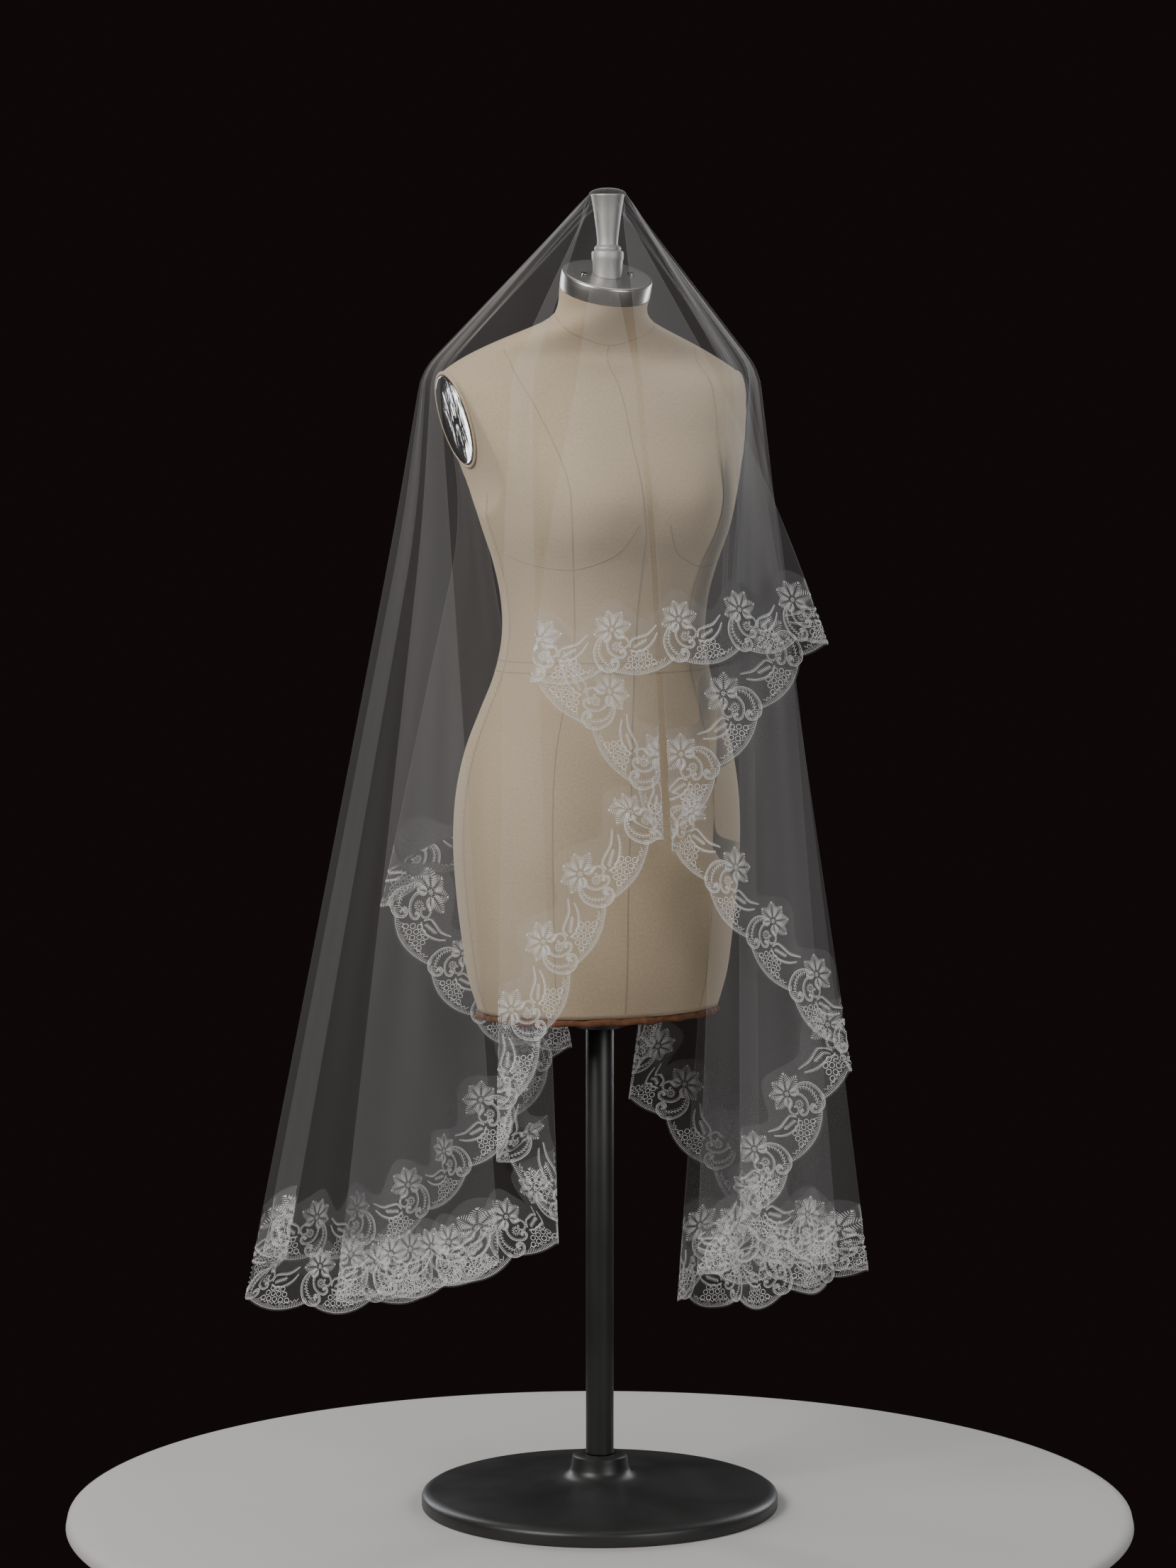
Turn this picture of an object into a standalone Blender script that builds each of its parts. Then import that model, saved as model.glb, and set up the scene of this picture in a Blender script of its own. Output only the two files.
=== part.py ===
"""A bridal veil of one layer of tulle with a scalloped lace edging.

The middle of the veil lies over the metal finial of a limbless dress form. It falls over the
shoulders in deep folds. Its front is short, its sides are long and its back is middling. The form
faces -Y, +Z is up, and the underside of the stand's base lies on Z = 0. Units are metres.
"""
import math

import bmesh
import bpy
import numpy as np
from mathutils import Matrix, Vector

# Sizes shared by all pieces
GAP = 0.0003
WALL = 0.001
ROUND_STEPS = 28

# The veil lies in a frame of its own: across, depth and height, with its centre on the finial.
# That frame is turned about the finial's axis against the form.
DRAPE_TURN = math.radians(-25.0)
FINIAL_Y = -0.020

# Finial and neck cap
FINIAL_TOP = 1.4985
FINIAL_TOP_RADIUS = 0.019
FINIAL_WAIST_RADIUS = 0.0115
FINIAL_WAIST_Z = 1.442
FINIAL_COLLAR_RADIUS = 0.018
NECK_TILT = math.radians(20.0)
CAP_RADIUS = 0.0515
CAP_HEIGHT = 0.020
CAP_CENTRE = Vector((0.0, -0.019, 1.409))
SCREW_RADIUS = 0.0045
SCREW_HEIGHT = 0.0016
SCREW_SPREAD = 0.029

# Arm plates at the ends of the shoulders
ARM_PLATE_CENTRE_Z = 1.247
ARM_PLATE_X = 0.166
ARM_PLATE_SLOPE = 0.307
ARM_PLATE_HALF_HEIGHT = 0.052
ARM_PLATE_HALF_DEPTH = 0.038
ARM_PLATE_THICKNESS = 0.003
ARM_PLATE_Y = 0.024
ARM_FLAT_FROM_Z = 1.170

# Stand under the form
BOARD_THICKNESS = 0.008
BOARD_MARGIN = 1.02
POLE_RADIUS = 0.016
FLANGE_RADIUS = 0.045
FLANGE_HEIGHT = 0.014
BASE_RADIUS = 0.205
BASE_EDGE = 0.014
BASE_HEIGHT = 0.030
BASE_BOSS_RADIUS = 0.032
BASE_BOSS_HEIGHT = 0.060

# Sections of the form from its foot to its neck: height, half width at the sides,
# how far the front and the back reach, and where the widest place lies along Y.
FORM_COLUMNS = ("height", "half_width", "front", "back", "middle")
FORM_SECTIONS = (
    (0.578, 0.143, -0.098, 0.108, 0.002),
    (0.610, 0.153, -0.105, 0.120, 0.003),
    (0.660, 0.161, -0.110, 0.128, 0.004),
    (0.720, 0.168, -0.112, 0.132, 0.005),
    (0.780, 0.171, -0.113, 0.132, 0.005),
    (0.840, 0.166, -0.112, 0.126, 0.004),
    (0.880, 0.157, -0.109, 0.114, 0.002),
    (0.920, 0.143, -0.105, 0.098, -0.002),
    (0.960, 0.128, -0.102, 0.085, -0.006),
    (1.005, 0.120, -0.101, 0.077, -0.010),
    (1.045, 0.122, -0.105, 0.077, -0.012),
    (1.085, 0.131, -0.118, 0.083, -0.014),
    (1.125, 0.144, -0.138, 0.091, -0.012),
    (1.160, 0.154, -0.146, 0.098, -0.004),
    (1.195, 0.168, -0.136, 0.104, 0.008),
    (1.230, 0.184, -0.112, 0.107, 0.017),
    (1.265, 0.192, -0.085, 0.105, 0.022),
    (1.290, 0.192, -0.058, 0.096, 0.024),
    (1.305, 0.175, -0.034, 0.081, 0.024),
    (1.316, 0.157, -0.022, 0.072, 0.024),
    (1.330, 0.128, -0.024, 0.068, 0.020),
    (1.346, 0.089, -0.035, 0.060, 0.012),
    (1.356, 0.065, -0.044, 0.054, 0.005),
    (1.364, 0.054, -0.052, 0.049, -0.001),
    (1.378, 0.052, -0.062, 0.040, -0.011),
)
FORM_SEGMENTS = 48
BUST_HEIGHT = 1.150
BUST_SPREAD = 0.078
BUST_SWELL = 0.012
BUST_SIZE = 0.052

# Levels of the drape. Each fold is a line down the cloth that passes these levels on its way
# from the finial's rim to the hem.
RIM_Z = 1.4975
RIM_RADIUS = 0.0215
DOME_TOP = 1.5050
SHOULDER_Z = 1.302
BUST_Z = 1.130

# The folds in their order round the veil, from the front panel's left edge round the back.
# A fold that turns the cloth back to the right is a left tip. Left and right tips alternate.
# Depth grows away from the viewer of the drape, so layers in front have the lower depth.
# Sag lifts or drops the hem halfway to the next fold.
FOLD_COLUMNS = (
    "name", "shoulder_across", "shoulder_depth", "bust_across", "bust_depth",
    "hem_across", "hem_depth", "hem_height", "sag",
)
FOLDS = (
    ("front_left", -0.033, -0.116, -0.065, -0.180, -0.086, -0.184, 0.955, 0.018),
    ("inner_left", 0.029, -0.109, 0.045, -0.173, 0.062, -0.176, 0.783, 0.035),
    ("left_second", -0.106, -0.102, -0.114, -0.165, -0.123, -0.164, 0.422, 0.015),
    ("left_third", -0.082, -0.095, -0.082, -0.157, -0.054, -0.154, 0.335, -0.020),
    ("left_fourth", -0.196, -0.087, -0.206, -0.132, -0.305, -0.140, 0.260, -0.010),
    ("left_inner", -0.188, -0.078, -0.176, -0.108, -0.120, -0.118, 0.298, -0.026),
    ("left_outer", -0.208, -0.040, -0.238, -0.060, -0.413, -0.066, 0.243, 0.010),
    ("left_narrow", -0.203, -0.026, -0.215, -0.034, -0.366, -0.036, 0.289, 0.005),
    ("left_behind", -0.207, -0.012, -0.230, -0.006, -0.394, -0.006, 0.293, -0.088),
    ("back_left_inner", -0.184, 0.045, -0.142, 0.118, -0.040, 0.152, 0.510, -0.060),
    ("back_left", -0.190, 0.072, -0.166, 0.140, -0.266, 0.166, 0.668, 0.078),
    ("back_right", 0.152, 0.178, 0.142, 0.180, 0.130, 0.196, 0.635, 0.010),
    ("back_right_inner", 0.142, 0.166, 0.115, 0.167, 0.025, 0.182, 0.445, 0.005),
    ("right_behind", 0.168, 0.146, 0.168, 0.154, 0.180, 0.168, 0.285, 0.005),
    ("right_behind_inner", 0.162, 0.128, 0.150, 0.140, 0.082, 0.154, 0.205, -0.020),
    ("right_outer", 0.172, 0.050, 0.190, -0.036, 0.297, -0.032, 0.280, -0.015),
    ("right_inner", 0.132, -0.050, 0.130, -0.092, 0.100, -0.086, 0.284, 0.005),
    ("right_fifth", 0.152, -0.064, 0.194, -0.112, 0.260, -0.110, 0.300, -0.015),
    ("right_fourth", 0.140, -0.078, 0.145, -0.134, 0.148, -0.134, 0.348, -0.026),
    ("right_third", 0.148, -0.092, 0.182, -0.150, 0.274, -0.152, 0.518, -0.010),
    ("inner_right", 0.036, -0.102, 0.052, -0.165, 0.070, -0.168, 0.773, 0.008),
    ("front_right", 0.117, -0.109, 0.198, -0.173, 0.247, -0.176, 0.996, 0.000),
)
FOLD_RADIUS = 0.0024
FOLD_ARC_STEPS = 4
PANEL_STEP = 0.062
WRAP_MIDDLE = -0.020
WRAP_AT_BUST = 2.0
WRAP_AT_HEM = 0.5
WRAP_HEM_Z = 0.300
WRAP_FRONT = 0.170
PLEATS_START = 0.12
PLEATS_FULL = 0.90
ROWS_ABOVE_SHOULDER = 6
ROWS_TO_BUST = 2
ROWS_TO_LACE = 4
FRONT_PANEL_ANGLE = math.radians(-12.0)
SHOULDER_LOOP_MIDDLE = (-0.018, 0.030)
SHOULDER_LOOP_ACROSS = 0.186
SHOULDER_LOOP_DEPTH = 0.160

# Lace edging
LACE_WIDTH = 0.086
SCALLOP_PITCH = 0.082
SCALLOP_DEPTH = 0.017
LACE_STEP = 0.020
SLOPE_LIMIT = 2.0


def clear_scene():
    """Remove every object that the scene holds."""
    for item in list(bpy.data.objects):
        bpy.data.objects.remove(item, do_unlink=True)


def make_material(name, colour, roughness, metallic=0.0, alpha=1.0):
    """Give a Principled material of one colour."""
    material = bpy.data.materials.new(name)
    material.use_nodes = True
    shader = material.node_tree.nodes["Principled BSDF"]
    shader.inputs["Base Color"].default_value = (*colour, 1.0)
    shader.inputs["Roughness"].default_value = roughness
    shader.inputs["Metallic"].default_value = metallic
    shader.inputs["Alpha"].default_value = alpha
    material.diffuse_color = (*colour, 1.0)
    return material


def add_mesh(name, points, faces, material, smooth=True):
    """Make a named object from points and faces, with its faces turned outwards."""
    mesh = bpy.data.meshes.new(name)
    mesh.from_pydata([tuple(map(float, point)) for point in points], [], faces)
    shape = bmesh.new()
    shape.from_mesh(mesh)
    bmesh.ops.recalc_face_normals(shape, faces=shape.faces)
    if shape.calc_volume(signed=True) < 0.0:
        bmesh.ops.reverse_faces(shape, faces=shape.faces)
    shape.to_mesh(mesh)
    shape.free()
    if smooth:
        mesh.shade_smooth()
    mesh.materials.append(material)
    item = bpy.data.objects.new(name, mesh)
    bpy.context.collection.objects.link(item)
    return item


def join_rings(rings, close_start=True, close_end=True):
    """Join closed rings of the same count into one body, with flat ends."""
    count = len(rings[0])
    points = [point for ring in rings for point in ring]
    faces = []
    for row in range(len(rings) - 1):
        low = row * count
        high = low + count
        for step in range(count):
            after = (step + 1) % count
            faces.append((low + step, low + after, high + after, high + step))
    if close_start:
        faces.append(tuple(reversed(range(count))))
    if close_end:
        last = (len(rings) - 1) * count
        faces.append(tuple(last + step for step in range(count)))
    return points, faces


def turned_rings(profile, steps=ROUND_STEPS):
    """Turn a profile of (radius, height) pairs about +Z into rings."""
    rings = []
    for radius, height in profile:
        ring = []
        for step in range(steps):
            angle = 2.0 * math.pi * step / steps
            ring.append(Vector((radius * math.cos(angle), radius * math.sin(angle), height)))
        rings.append(ring)
    return rings


def smooth_step(value):
    """Rise smoothly from 0 to 1."""
    value = np.clip(value, 0.0, 1.0)
    return value * value * (3.0 - 2.0 * value)


def neck_plane(drop):
    """Give the frame of the neck's tilted end, moved down its own axis by drop."""
    tilt = Matrix.Rotation(NECK_TILT, 4, "X")
    return Matrix.Translation(CAP_CENTRE) @ tilt @ Matrix.Translation((0.0, 0.0, -drop))


def form_sections():
    """Give the form's sections as smooth curves of height."""
    table = np.array(FORM_SECTIONS)
    return {name: table[:, place] for place, name in enumerate(FORM_COLUMNS)}


def form_ring(height, half_width, front, back, middle):
    """Work out one level section of the form, with its bust and the flats at its arms."""
    flat_x = ARM_PLATE_X + ARM_PLATE_SLOPE * (height - ARM_PLATE_CENTRE_Z)
    ring = []
    for step in range(FORM_SEGMENTS):
        angle = 2.0 * math.pi * step / FORM_SEGMENTS
        reach = middle - front if math.sin(angle) < 0.0 else back - middle
        x = half_width * math.cos(angle)
        y = middle + reach * math.sin(angle)
        if y < middle:
            across = (abs(x) - BUST_SPREAD) / BUST_SIZE
            upward = (height - BUST_HEIGHT) / BUST_SIZE
            facing = (middle - y) / reach
            y -= BUST_SWELL * facing * math.exp(-across * across - upward * upward)
        if height > ARM_FLAT_FROM_Z:
            x = max(-flat_x, min(flat_x, x))
        ring.append(Vector((x, y, height)))
    return ring


def build_form(material):
    """Build the smooth torso of the form, closed at its foot and at its tilted neck."""
    rings = [form_ring(*section) for section in FORM_SECTIONS]
    place = neck_plane(CAP_HEIGHT + GAP)
    neck = []
    for step in range(FORM_SEGMENTS):
        angle = 2.0 * math.pi * step / FORM_SEGMENTS
        radius = CAP_RADIUS - 0.0005
        neck.append(place @ Vector((radius * math.cos(angle), radius * math.sin(angle), 0.0)))
    rings.append(neck)
    points, faces = join_rings(rings)
    return add_mesh("torso", points, faces, material)


def build_neck_cap(material):
    """Build the flat metal cap on the neck."""
    round_over = 0.0012
    profile = (
        (CAP_RADIUS - round_over, -CAP_HEIGHT),
        (CAP_RADIUS, -CAP_HEIGHT + round_over),
        (CAP_RADIUS, -round_over),
        (CAP_RADIUS - round_over, 0.0),
    )
    points, faces = join_rings(turned_rings(profile, FORM_SEGMENTS))
    cap = add_mesh("neck_cap", points, faces, material, smooth=False)
    cap.matrix_world = neck_plane(0.0)
    return cap


def build_cap_screw(name, side, material):
    """Build one of the two screw heads on the neck cap."""
    profile = (
        (SCREW_RADIUS, GAP),
        (SCREW_RADIUS, GAP + 0.6 * SCREW_HEIGHT),
        (0.6 * SCREW_RADIUS, GAP + SCREW_HEIGHT),
    )
    points, faces = join_rings(turned_rings(profile, 16))
    screw = add_mesh(name, points, faces, material)
    screw.matrix_world = neck_plane(0.0) @ Matrix.Translation((side * SCREW_SPREAD, 0.0, 0.0))
    return screw


def build_finial(material):
    """Build the flared finial that holds the veil. Its foot lies on the tilted cap."""
    place = neck_plane(-GAP)
    foot = []
    for step in range(ROUND_STEPS):
        angle = 2.0 * math.pi * step / ROUND_STEPS
        radius = 0.90 * FINIAL_COLLAR_RADIUS
        foot.append(place @ Vector((radius * math.cos(angle), radius * math.sin(angle), 0.0)))
    profile = (
        (0.95 * FINIAL_COLLAR_RADIUS, 1.4240),
        (FINIAL_COLLAR_RADIUS, 1.4290),
        (FINIAL_COLLAR_RADIUS, 1.4330),
        (0.92 * FINIAL_COLLAR_RADIUS, 1.4350),
        (FINIAL_WAIST_RADIUS + 0.0030, 1.4360),
        (FINIAL_WAIST_RADIUS + 0.0036, 1.4385),
        (FINIAL_WAIST_RADIUS + 0.0022, 1.4405),
        (FINIAL_WAIST_RADIUS, FINIAL_WAIST_Z),
        (FINIAL_WAIST_RADIUS + 0.0030, 1.4650),
        (FINIAL_TOP_RADIUS - 0.0008, FINIAL_TOP - 0.0030),
        (FINIAL_TOP_RADIUS, FINIAL_TOP - 0.0018),
        (FINIAL_TOP_RADIUS, FINIAL_TOP - 0.0010),
        (FINIAL_TOP_RADIUS - 0.0012, FINIAL_TOP),
    )
    rings = turned_rings(profile)
    for ring in rings:
        for point in ring:
            point.y += FINIAL_Y
    points, faces = join_rings([foot] + rings)
    return add_mesh("finial", points, faces, material)


def build_arm_plate(name, side, material):
    """Build the smooth metal plate on one of the form's arm ends."""
    lean = math.atan(ARM_PLATE_SLOPE)
    outward = Vector((side * math.cos(lean), 0.0, -math.sin(lean)))
    upward = Vector((side * math.sin(lean), 0.0, math.cos(lean)))
    centre = Vector((side * ARM_PLATE_X, ARM_PLATE_Y, ARM_PLATE_CENTRE_Z))
    rings = []
    edge = 0.0008
    layers = ((0.0, 1.0), (ARM_PLATE_THICKNESS - edge, 1.0), (ARM_PLATE_THICKNESS, 0.97))
    for lift, share in layers:
        ring = []
        for step in range(ROUND_STEPS):
            angle = 2.0 * math.pi * step / ROUND_STEPS
            point = centre + outward * (GAP + lift)
            point = point + upward * (share * ARM_PLATE_HALF_HEIGHT * math.sin(angle))
            point.y += share * ARM_PLATE_HALF_DEPTH * math.cos(angle)
            ring.append(point)
        rings.append(ring)
    points, faces = join_rings(rings)
    return add_mesh(name, points, faces, material, smooth=False)


def build_board(material):
    """Build the thin board that closes the form's foot."""
    top = FORM_SECTIONS[0][0] - GAP
    ring = form_ring(*FORM_SECTIONS[0])
    rings = []
    for height in (top - BOARD_THICKNESS, top):
        rings.append([Vector((p.x * BOARD_MARGIN, p.y * BOARD_MARGIN, height)) for p in ring])
    points, faces = join_rings(rings)
    return add_mesh("foot_board", points, faces, material, smooth=False)


def build_stand(metal):
    """Build the flange, the pole and the round base under the form."""
    board_low = FORM_SECTIONS[0][0] - GAP - BOARD_THICKNESS
    flange_high = board_low - GAP
    flange_low = flange_high - FLANGE_HEIGHT
    flange_profile = (
        (FLANGE_RADIUS * 0.62, flange_low),
        (FLANGE_RADIUS * 0.70, flange_low + 0.006),
        (FLANGE_RADIUS, flange_low + 0.009),
        (FLANGE_RADIUS, flange_high),
    )
    points, faces = join_rings(turned_rings(flange_profile))
    add_mesh("flange", points, faces, metal, smooth=False)
    pole_profile = (
        (POLE_RADIUS, BASE_BOSS_HEIGHT + GAP),
        (POLE_RADIUS, flange_low - GAP),
    )
    points, faces = join_rings(turned_rings(pole_profile))
    add_mesh("pole", points, faces, metal, smooth=False)
    base_profile = (
        (BASE_RADIUS - 0.002, 0.0),
        (BASE_RADIUS, 0.002),
        (BASE_RADIUS, BASE_EDGE),
        (BASE_RADIUS - 0.006, BASE_EDGE + 0.006),
        (BASE_BOSS_RADIUS + 0.030, BASE_HEIGHT),
        (BASE_BOSS_RADIUS + 0.004, BASE_HEIGHT + 0.008),
        (BASE_BOSS_RADIUS, BASE_BOSS_HEIGHT - 0.004),
        (BASE_BOSS_RADIUS - 0.004, BASE_BOSS_HEIGHT),
    )
    points, faces = join_rings(turned_rings(base_profile, 48))
    add_mesh("base", points, faces, metal, smooth=False)


def fold_table():
    """Give the fold table's columns as arrays by name."""
    return {
        name: np.array([row[place] for row in FOLDS], dtype=float)
        for place, name in enumerate(FOLD_COLUMNS)
        if name != "name"
    }


def fold_sides(table):
    """Say for each fold if it is a right tip and if depth grows past it."""
    count = len(FOLDS)
    right_tip = np.where(np.arange(count) % 2 == 1, 1.0, -1.0)
    before = np.roll(table["bust_depth"], 1)
    after = np.roll(table["bust_depth"], -1)
    grows = np.where(after > before, 1.0, -1.0)
    back = int(np.argmax(table["bust_depth"]))
    front = int(np.argmin(table["bust_depth"]))
    grows[back] = -1.0
    grows[back - 1] = 1.0
    grows[front] = 1.0
    grows[front - 1] = -1.0
    return right_tip, grows


def cloth_columns():
    """List the lines down the cloth: round each fold, then across the panel after it.

    Each line has the fold that it starts from, the share of the way to the next fold,
    and the two amounts, across and in depth, that the round of a fold moves it by.
    """
    table = fold_table()
    right_tip, grows = fold_sides(table)
    count = len(FOLDS)
    fold, share, shift_across, shift_depth = [], [], [], []
    for place in range(count):
        for step in range(FOLD_ARC_STEPS + 1):
            turn = math.pi * (step / FOLD_ARC_STEPS - 0.5)
            fold.append(place)
            share.append(0.0)
            shift_across.append(-right_tip[place] * (1.0 - math.cos(turn)))
            shift_depth.append(grows[place] * math.sin(turn))
        after = (place + 1) % count
        width = abs(table["hem_across"][after] - table["hem_across"][place])
        pieces = max(2, int(round(width / PANEL_STEP)))
        for step in range(1, pieces):
            part = step / pieces
            fold.append(place)
            share.append(part)
            here = -right_tip[place]
            there = -right_tip[after]
            shift_across.append(here * (1.0 - part) + there * part)
            shift_depth.append(grows[place] * (1.0 - part) - grows[after] * part)
    return (
        np.array(fold),
        np.array(share),
        FOLD_RADIUS * np.array(shift_across),
        FOLD_RADIUS * np.array(shift_depth),
    )


def cloth_angles(table, fold, share):
    """Give each line's angle about the crown, as the flat cloth would have it."""
    after = np.roll(table["hem_across"], -1)
    width = np.abs(after - table["hem_across"])
    length = RIM_Z - 0.5 * (table["hem_height"] + np.roll(table["hem_height"], -1))
    angle = width / length
    angle = angle * 2.0 * math.pi / angle.sum()
    start = np.concatenate(([0.0], np.cumsum(angle)[:-1]))
    even = np.arange(len(fold)) / len(fold)
    spread = (start[fold] + share * angle[fold]) * 0.5 + even * math.pi
    front_middle = 0.5 * (spread[-1] - 2.0 * math.pi + spread[0])
    return FRONT_PANEL_ANGLE - (spread - front_middle)


def wrap_depth(across, depth, height):
    """Bow the front layers back round the form, less and less towards the back."""
    low = np.clip((height - WRAP_HEM_Z) / (BUST_Z - WRAP_HEM_Z), 0.0, 1.0)
    bow = WRAP_AT_HEM + (WRAP_AT_BUST - WRAP_AT_HEM) * low
    bow = bow * np.clip(-depth / WRAP_FRONT, 0.0, 1.0)
    return depth + bow * (across - WRAP_MIDDLE) ** 2


def mix(first, second, share):
    """Move from first to second by share."""
    return first + (second - first) * share


def drape_points(fold, share, shift_across, shift_depth, height):
    """Place points of the cloth: one line each, at the given heights, in the drape's frame."""
    table = fold_table()
    after = (fold + 1) % len(FOLDS)
    angle = cloth_angles(table, fold, share)

    rim_across = RIM_RADIUS * np.sin(angle)
    rim_depth = -RIM_RADIUS * np.cos(angle)
    values = {}
    for name in ("shoulder_across", "shoulder_depth", "bust_across", "bust_depth",
                 "hem_across", "hem_depth", "hem_height"):
        values[name] = mix(table[name][fold], table[name][after], share)

    fall = (RIM_Z - height) / (RIM_Z - SHOULDER_Z)
    to_bust = np.clip((SHOULDER_Z - height) / (SHOULDER_Z - BUST_Z), 0.0, 1.0)
    to_hem = np.clip((BUST_Z - height) / (BUST_Z - values["hem_height"]), 0.0, 1.05)
    across = mix(values["shoulder_across"], values["bust_across"], to_bust)
    depth = mix(values["shoulder_depth"], values["bust_depth"], to_bust)
    across = mix(across, values["hem_across"], to_hem)
    depth = mix(depth, values["hem_depth"], to_hem)
    above = np.clip(fall, 0.0, 1.0)
    across = mix(rim_across, across, above) + shift_across
    depth = wrap_depth(across, mix(rim_depth, depth, above) + shift_depth, height)

    loop_across = SHOULDER_LOOP_MIDDLE[0] + SHOULDER_LOOP_ACROSS * np.sin(angle)
    loop_depth = SHOULDER_LOOP_MIDDLE[1] - SHOULDER_LOOP_DEPTH * np.cos(angle)
    plain_across = mix(rim_across, loop_across, above)
    plain_depth = mix(rim_depth, loop_depth, above)
    pleated = smooth_step((fall - PLEATS_START) / (PLEATS_FULL - PLEATS_START))
    across = mix(plain_across, across, pleated)
    depth = mix(plain_depth, depth, pleated)
    return np.stack([across, depth, height], axis=-1)


def hem_heights(fold, share):
    """Give the hem's height at each line."""
    table = fold_table()
    after = (fold + 1) % len(FOLDS)
    level = mix(table["hem_height"][fold], table["hem_height"][after], share)
    return level + table["sag"][fold] * 4.0 * share * (1.0 - share)


def lace_lengths(fold, share):
    """Give the edging's length along each line, so that its width square to the hem is even."""
    table = fold_table()
    run = np.abs(np.roll(table["hem_across"], -1) - table["hem_across"])
    rise = np.abs(np.roll(table["hem_height"], -1) - table["hem_height"])
    slope = np.minimum(rise / run, SLOPE_LIMIT)
    panel = LACE_WIDTH * np.sqrt(1.0 + slope * slope)
    at_fold = 0.5 * (panel + np.roll(panel, 1))
    return mix(at_fold[fold], at_fold[(fold + 1) % len(FOLDS)], share)


def turn_to_form(points):
    """Turn points of the drape's frame into the form's frame."""
    cosine = math.cos(DRAPE_TURN)
    sine = math.sin(DRAPE_TURN)
    x = points[..., 0] * cosine - points[..., 1] * sine
    y = points[..., 0] * sine + points[..., 1] * cosine + FINIAL_Y
    return np.stack([x, y, points[..., 2]], axis=-1)


def surface_normals(grid):
    """Give the normals of a grid of points whose columns close into a ring."""
    along = np.roll(grid, -1, axis=1) - np.roll(grid, 1, axis=1)
    down = np.empty_like(grid)
    down[1:-1] = grid[2:] - grid[:-2]
    down[0] = grid[1] - grid[0]
    down[-1] = grid[-1] - grid[-2]
    normal = np.cross(along, down)
    return normal / np.linalg.norm(normal, axis=-1, keepdims=True)


def veil_grid():
    """Work out the middle of the tulle and the edging as rows of points down from the rim."""
    fold, share, shift_across, shift_depth = cloth_columns()
    hem = hem_heights(fold, share)
    lace_top = hem + lace_lengths(fold, share)
    rows = []
    for step in range(ROWS_ABOVE_SHOULDER):
        rows.append(np.full(len(fold), mix(RIM_Z, SHOULDER_Z, step / ROWS_ABOVE_SHOULDER)))
    for step in range(ROWS_TO_BUST):
        rows.append(np.full(len(fold), mix(SHOULDER_Z, BUST_Z, step / ROWS_TO_BUST)))
    for step in range(ROWS_TO_LACE):
        rows.append(mix(np.full(len(fold), BUST_Z), lace_top, step / ROWS_TO_LACE))
    rows.append(lace_top)
    rows.append(hem)
    grid = [drape_points(fold, share, shift_across, shift_depth, row) for row in rows]
    return turn_to_form(np.array(grid))


def wall_body(name, outer, inner, material, close_top):
    """Close two matching grids of points into one wall."""
    rows, count = outer.shape[:2]
    points = list(outer.reshape(-1, 3)) + list(inner.reshape(-1, 3))
    offset = rows * count
    faces = []
    for row in range(rows - 1):
        for step in range(count):
            after = (step + 1) % count
            low = row * count
            high = low + count
            for side in (0, offset):
                faces.append((side + low + step, side + low + after, side + high + after))
                faces.append((side + low + step, side + high + after, side + high + step))
    last = (rows - 1) * count
    for step in range(count):
        after = (step + 1) % count
        faces.append((last + step, last + after, offset + last + after, offset + last + step))
        if not close_top:
            faces.append((after, step, offset + step, offset + after))
    if close_top:
        for start, lift in ((0, WALL), (offset, 0.0)):
            crown = len(points)
            points.append(np.array((0.0, FINIAL_Y, DOME_TOP + lift)))
            for step in range(count):
                faces.append((start + (step + 1) % count, start + step, crown))
    return add_mesh(name, points, faces, material)


def build_tulle(grid, material):
    """Build the veil's one layer of tulle, open at its hem."""
    normal = surface_normals(grid)
    outer = grid + normal * WALL * 0.5
    inner = grid - normal * WALL * 0.5
    crown_out = rim_ring(outer[0], DOME_TOP + WALL)
    crown_in = rim_ring(inner[0], DOME_TOP)
    outer = np.concatenate([crown_out[None], outer[:-1]])
    inner = np.concatenate([crown_in[None], inner[:-1]])
    return wall_body("tulle", outer, inner, material, close_top=True)


def rim_ring(ring, top):
    """Give the ring halfway up the low dome over the finial."""
    centre = np.array((0.0, FINIAL_Y, top))
    halfway = mix(ring, centre, 0.45)
    halfway[:, 2] = mix(ring[:, 2], top, 0.80)
    return halfway


def build_lace(grid, material):
    """Build the edging below the tulle's cut edge, with its scallops."""
    normal = surface_normals(grid)
    top, hem = grid[-2], grid[-1]
    top_side = normal[-2] * WALL * 0.5
    hem_side = normal[-1] * WALL * 0.5
    count = len(hem)
    run = np.linalg.norm(np.roll(hem, -1, axis=0) - hem, axis=1)
    start = np.concatenate(([0.0], np.cumsum(run)))
    scallops = round(start[-1] / SCALLOP_PITCH)
    pitch = start[-1] / scallops
    places = []
    for column in range(count):
        pieces = max(1, int(round(run[column] / LACE_STEP)))
        places.extend((column, step / pieces) for step in range(pieces))
    outer, inner = [[], []], [[], []]
    for column, part in places:
        after = (column + 1) % count
        distance = start[column] + part * run[column]
        scallop = SCALLOP_DEPTH * (1.0 - abs(math.sin(math.pi * distance / pitch)))
        high = mix(top[column], top[after], part)
        low = mix(hem[column], hem[after], part)
        length = np.linalg.norm(low - high)
        down = (low - high) / length
        for side, rows in ((1.0, outer), (-1.0, inner)):
            high_side = side * mix(top_side[column], top_side[after], part)
            low_side = side * mix(hem_side[column], hem_side[after], part)
            rows[0].append(high + high_side + down * GAP)
            rows[1].append(low + low_side - down * scallop)
    return wall_body("lace_edging", np.array(outer), np.array(inner), material, close_top=False)


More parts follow.
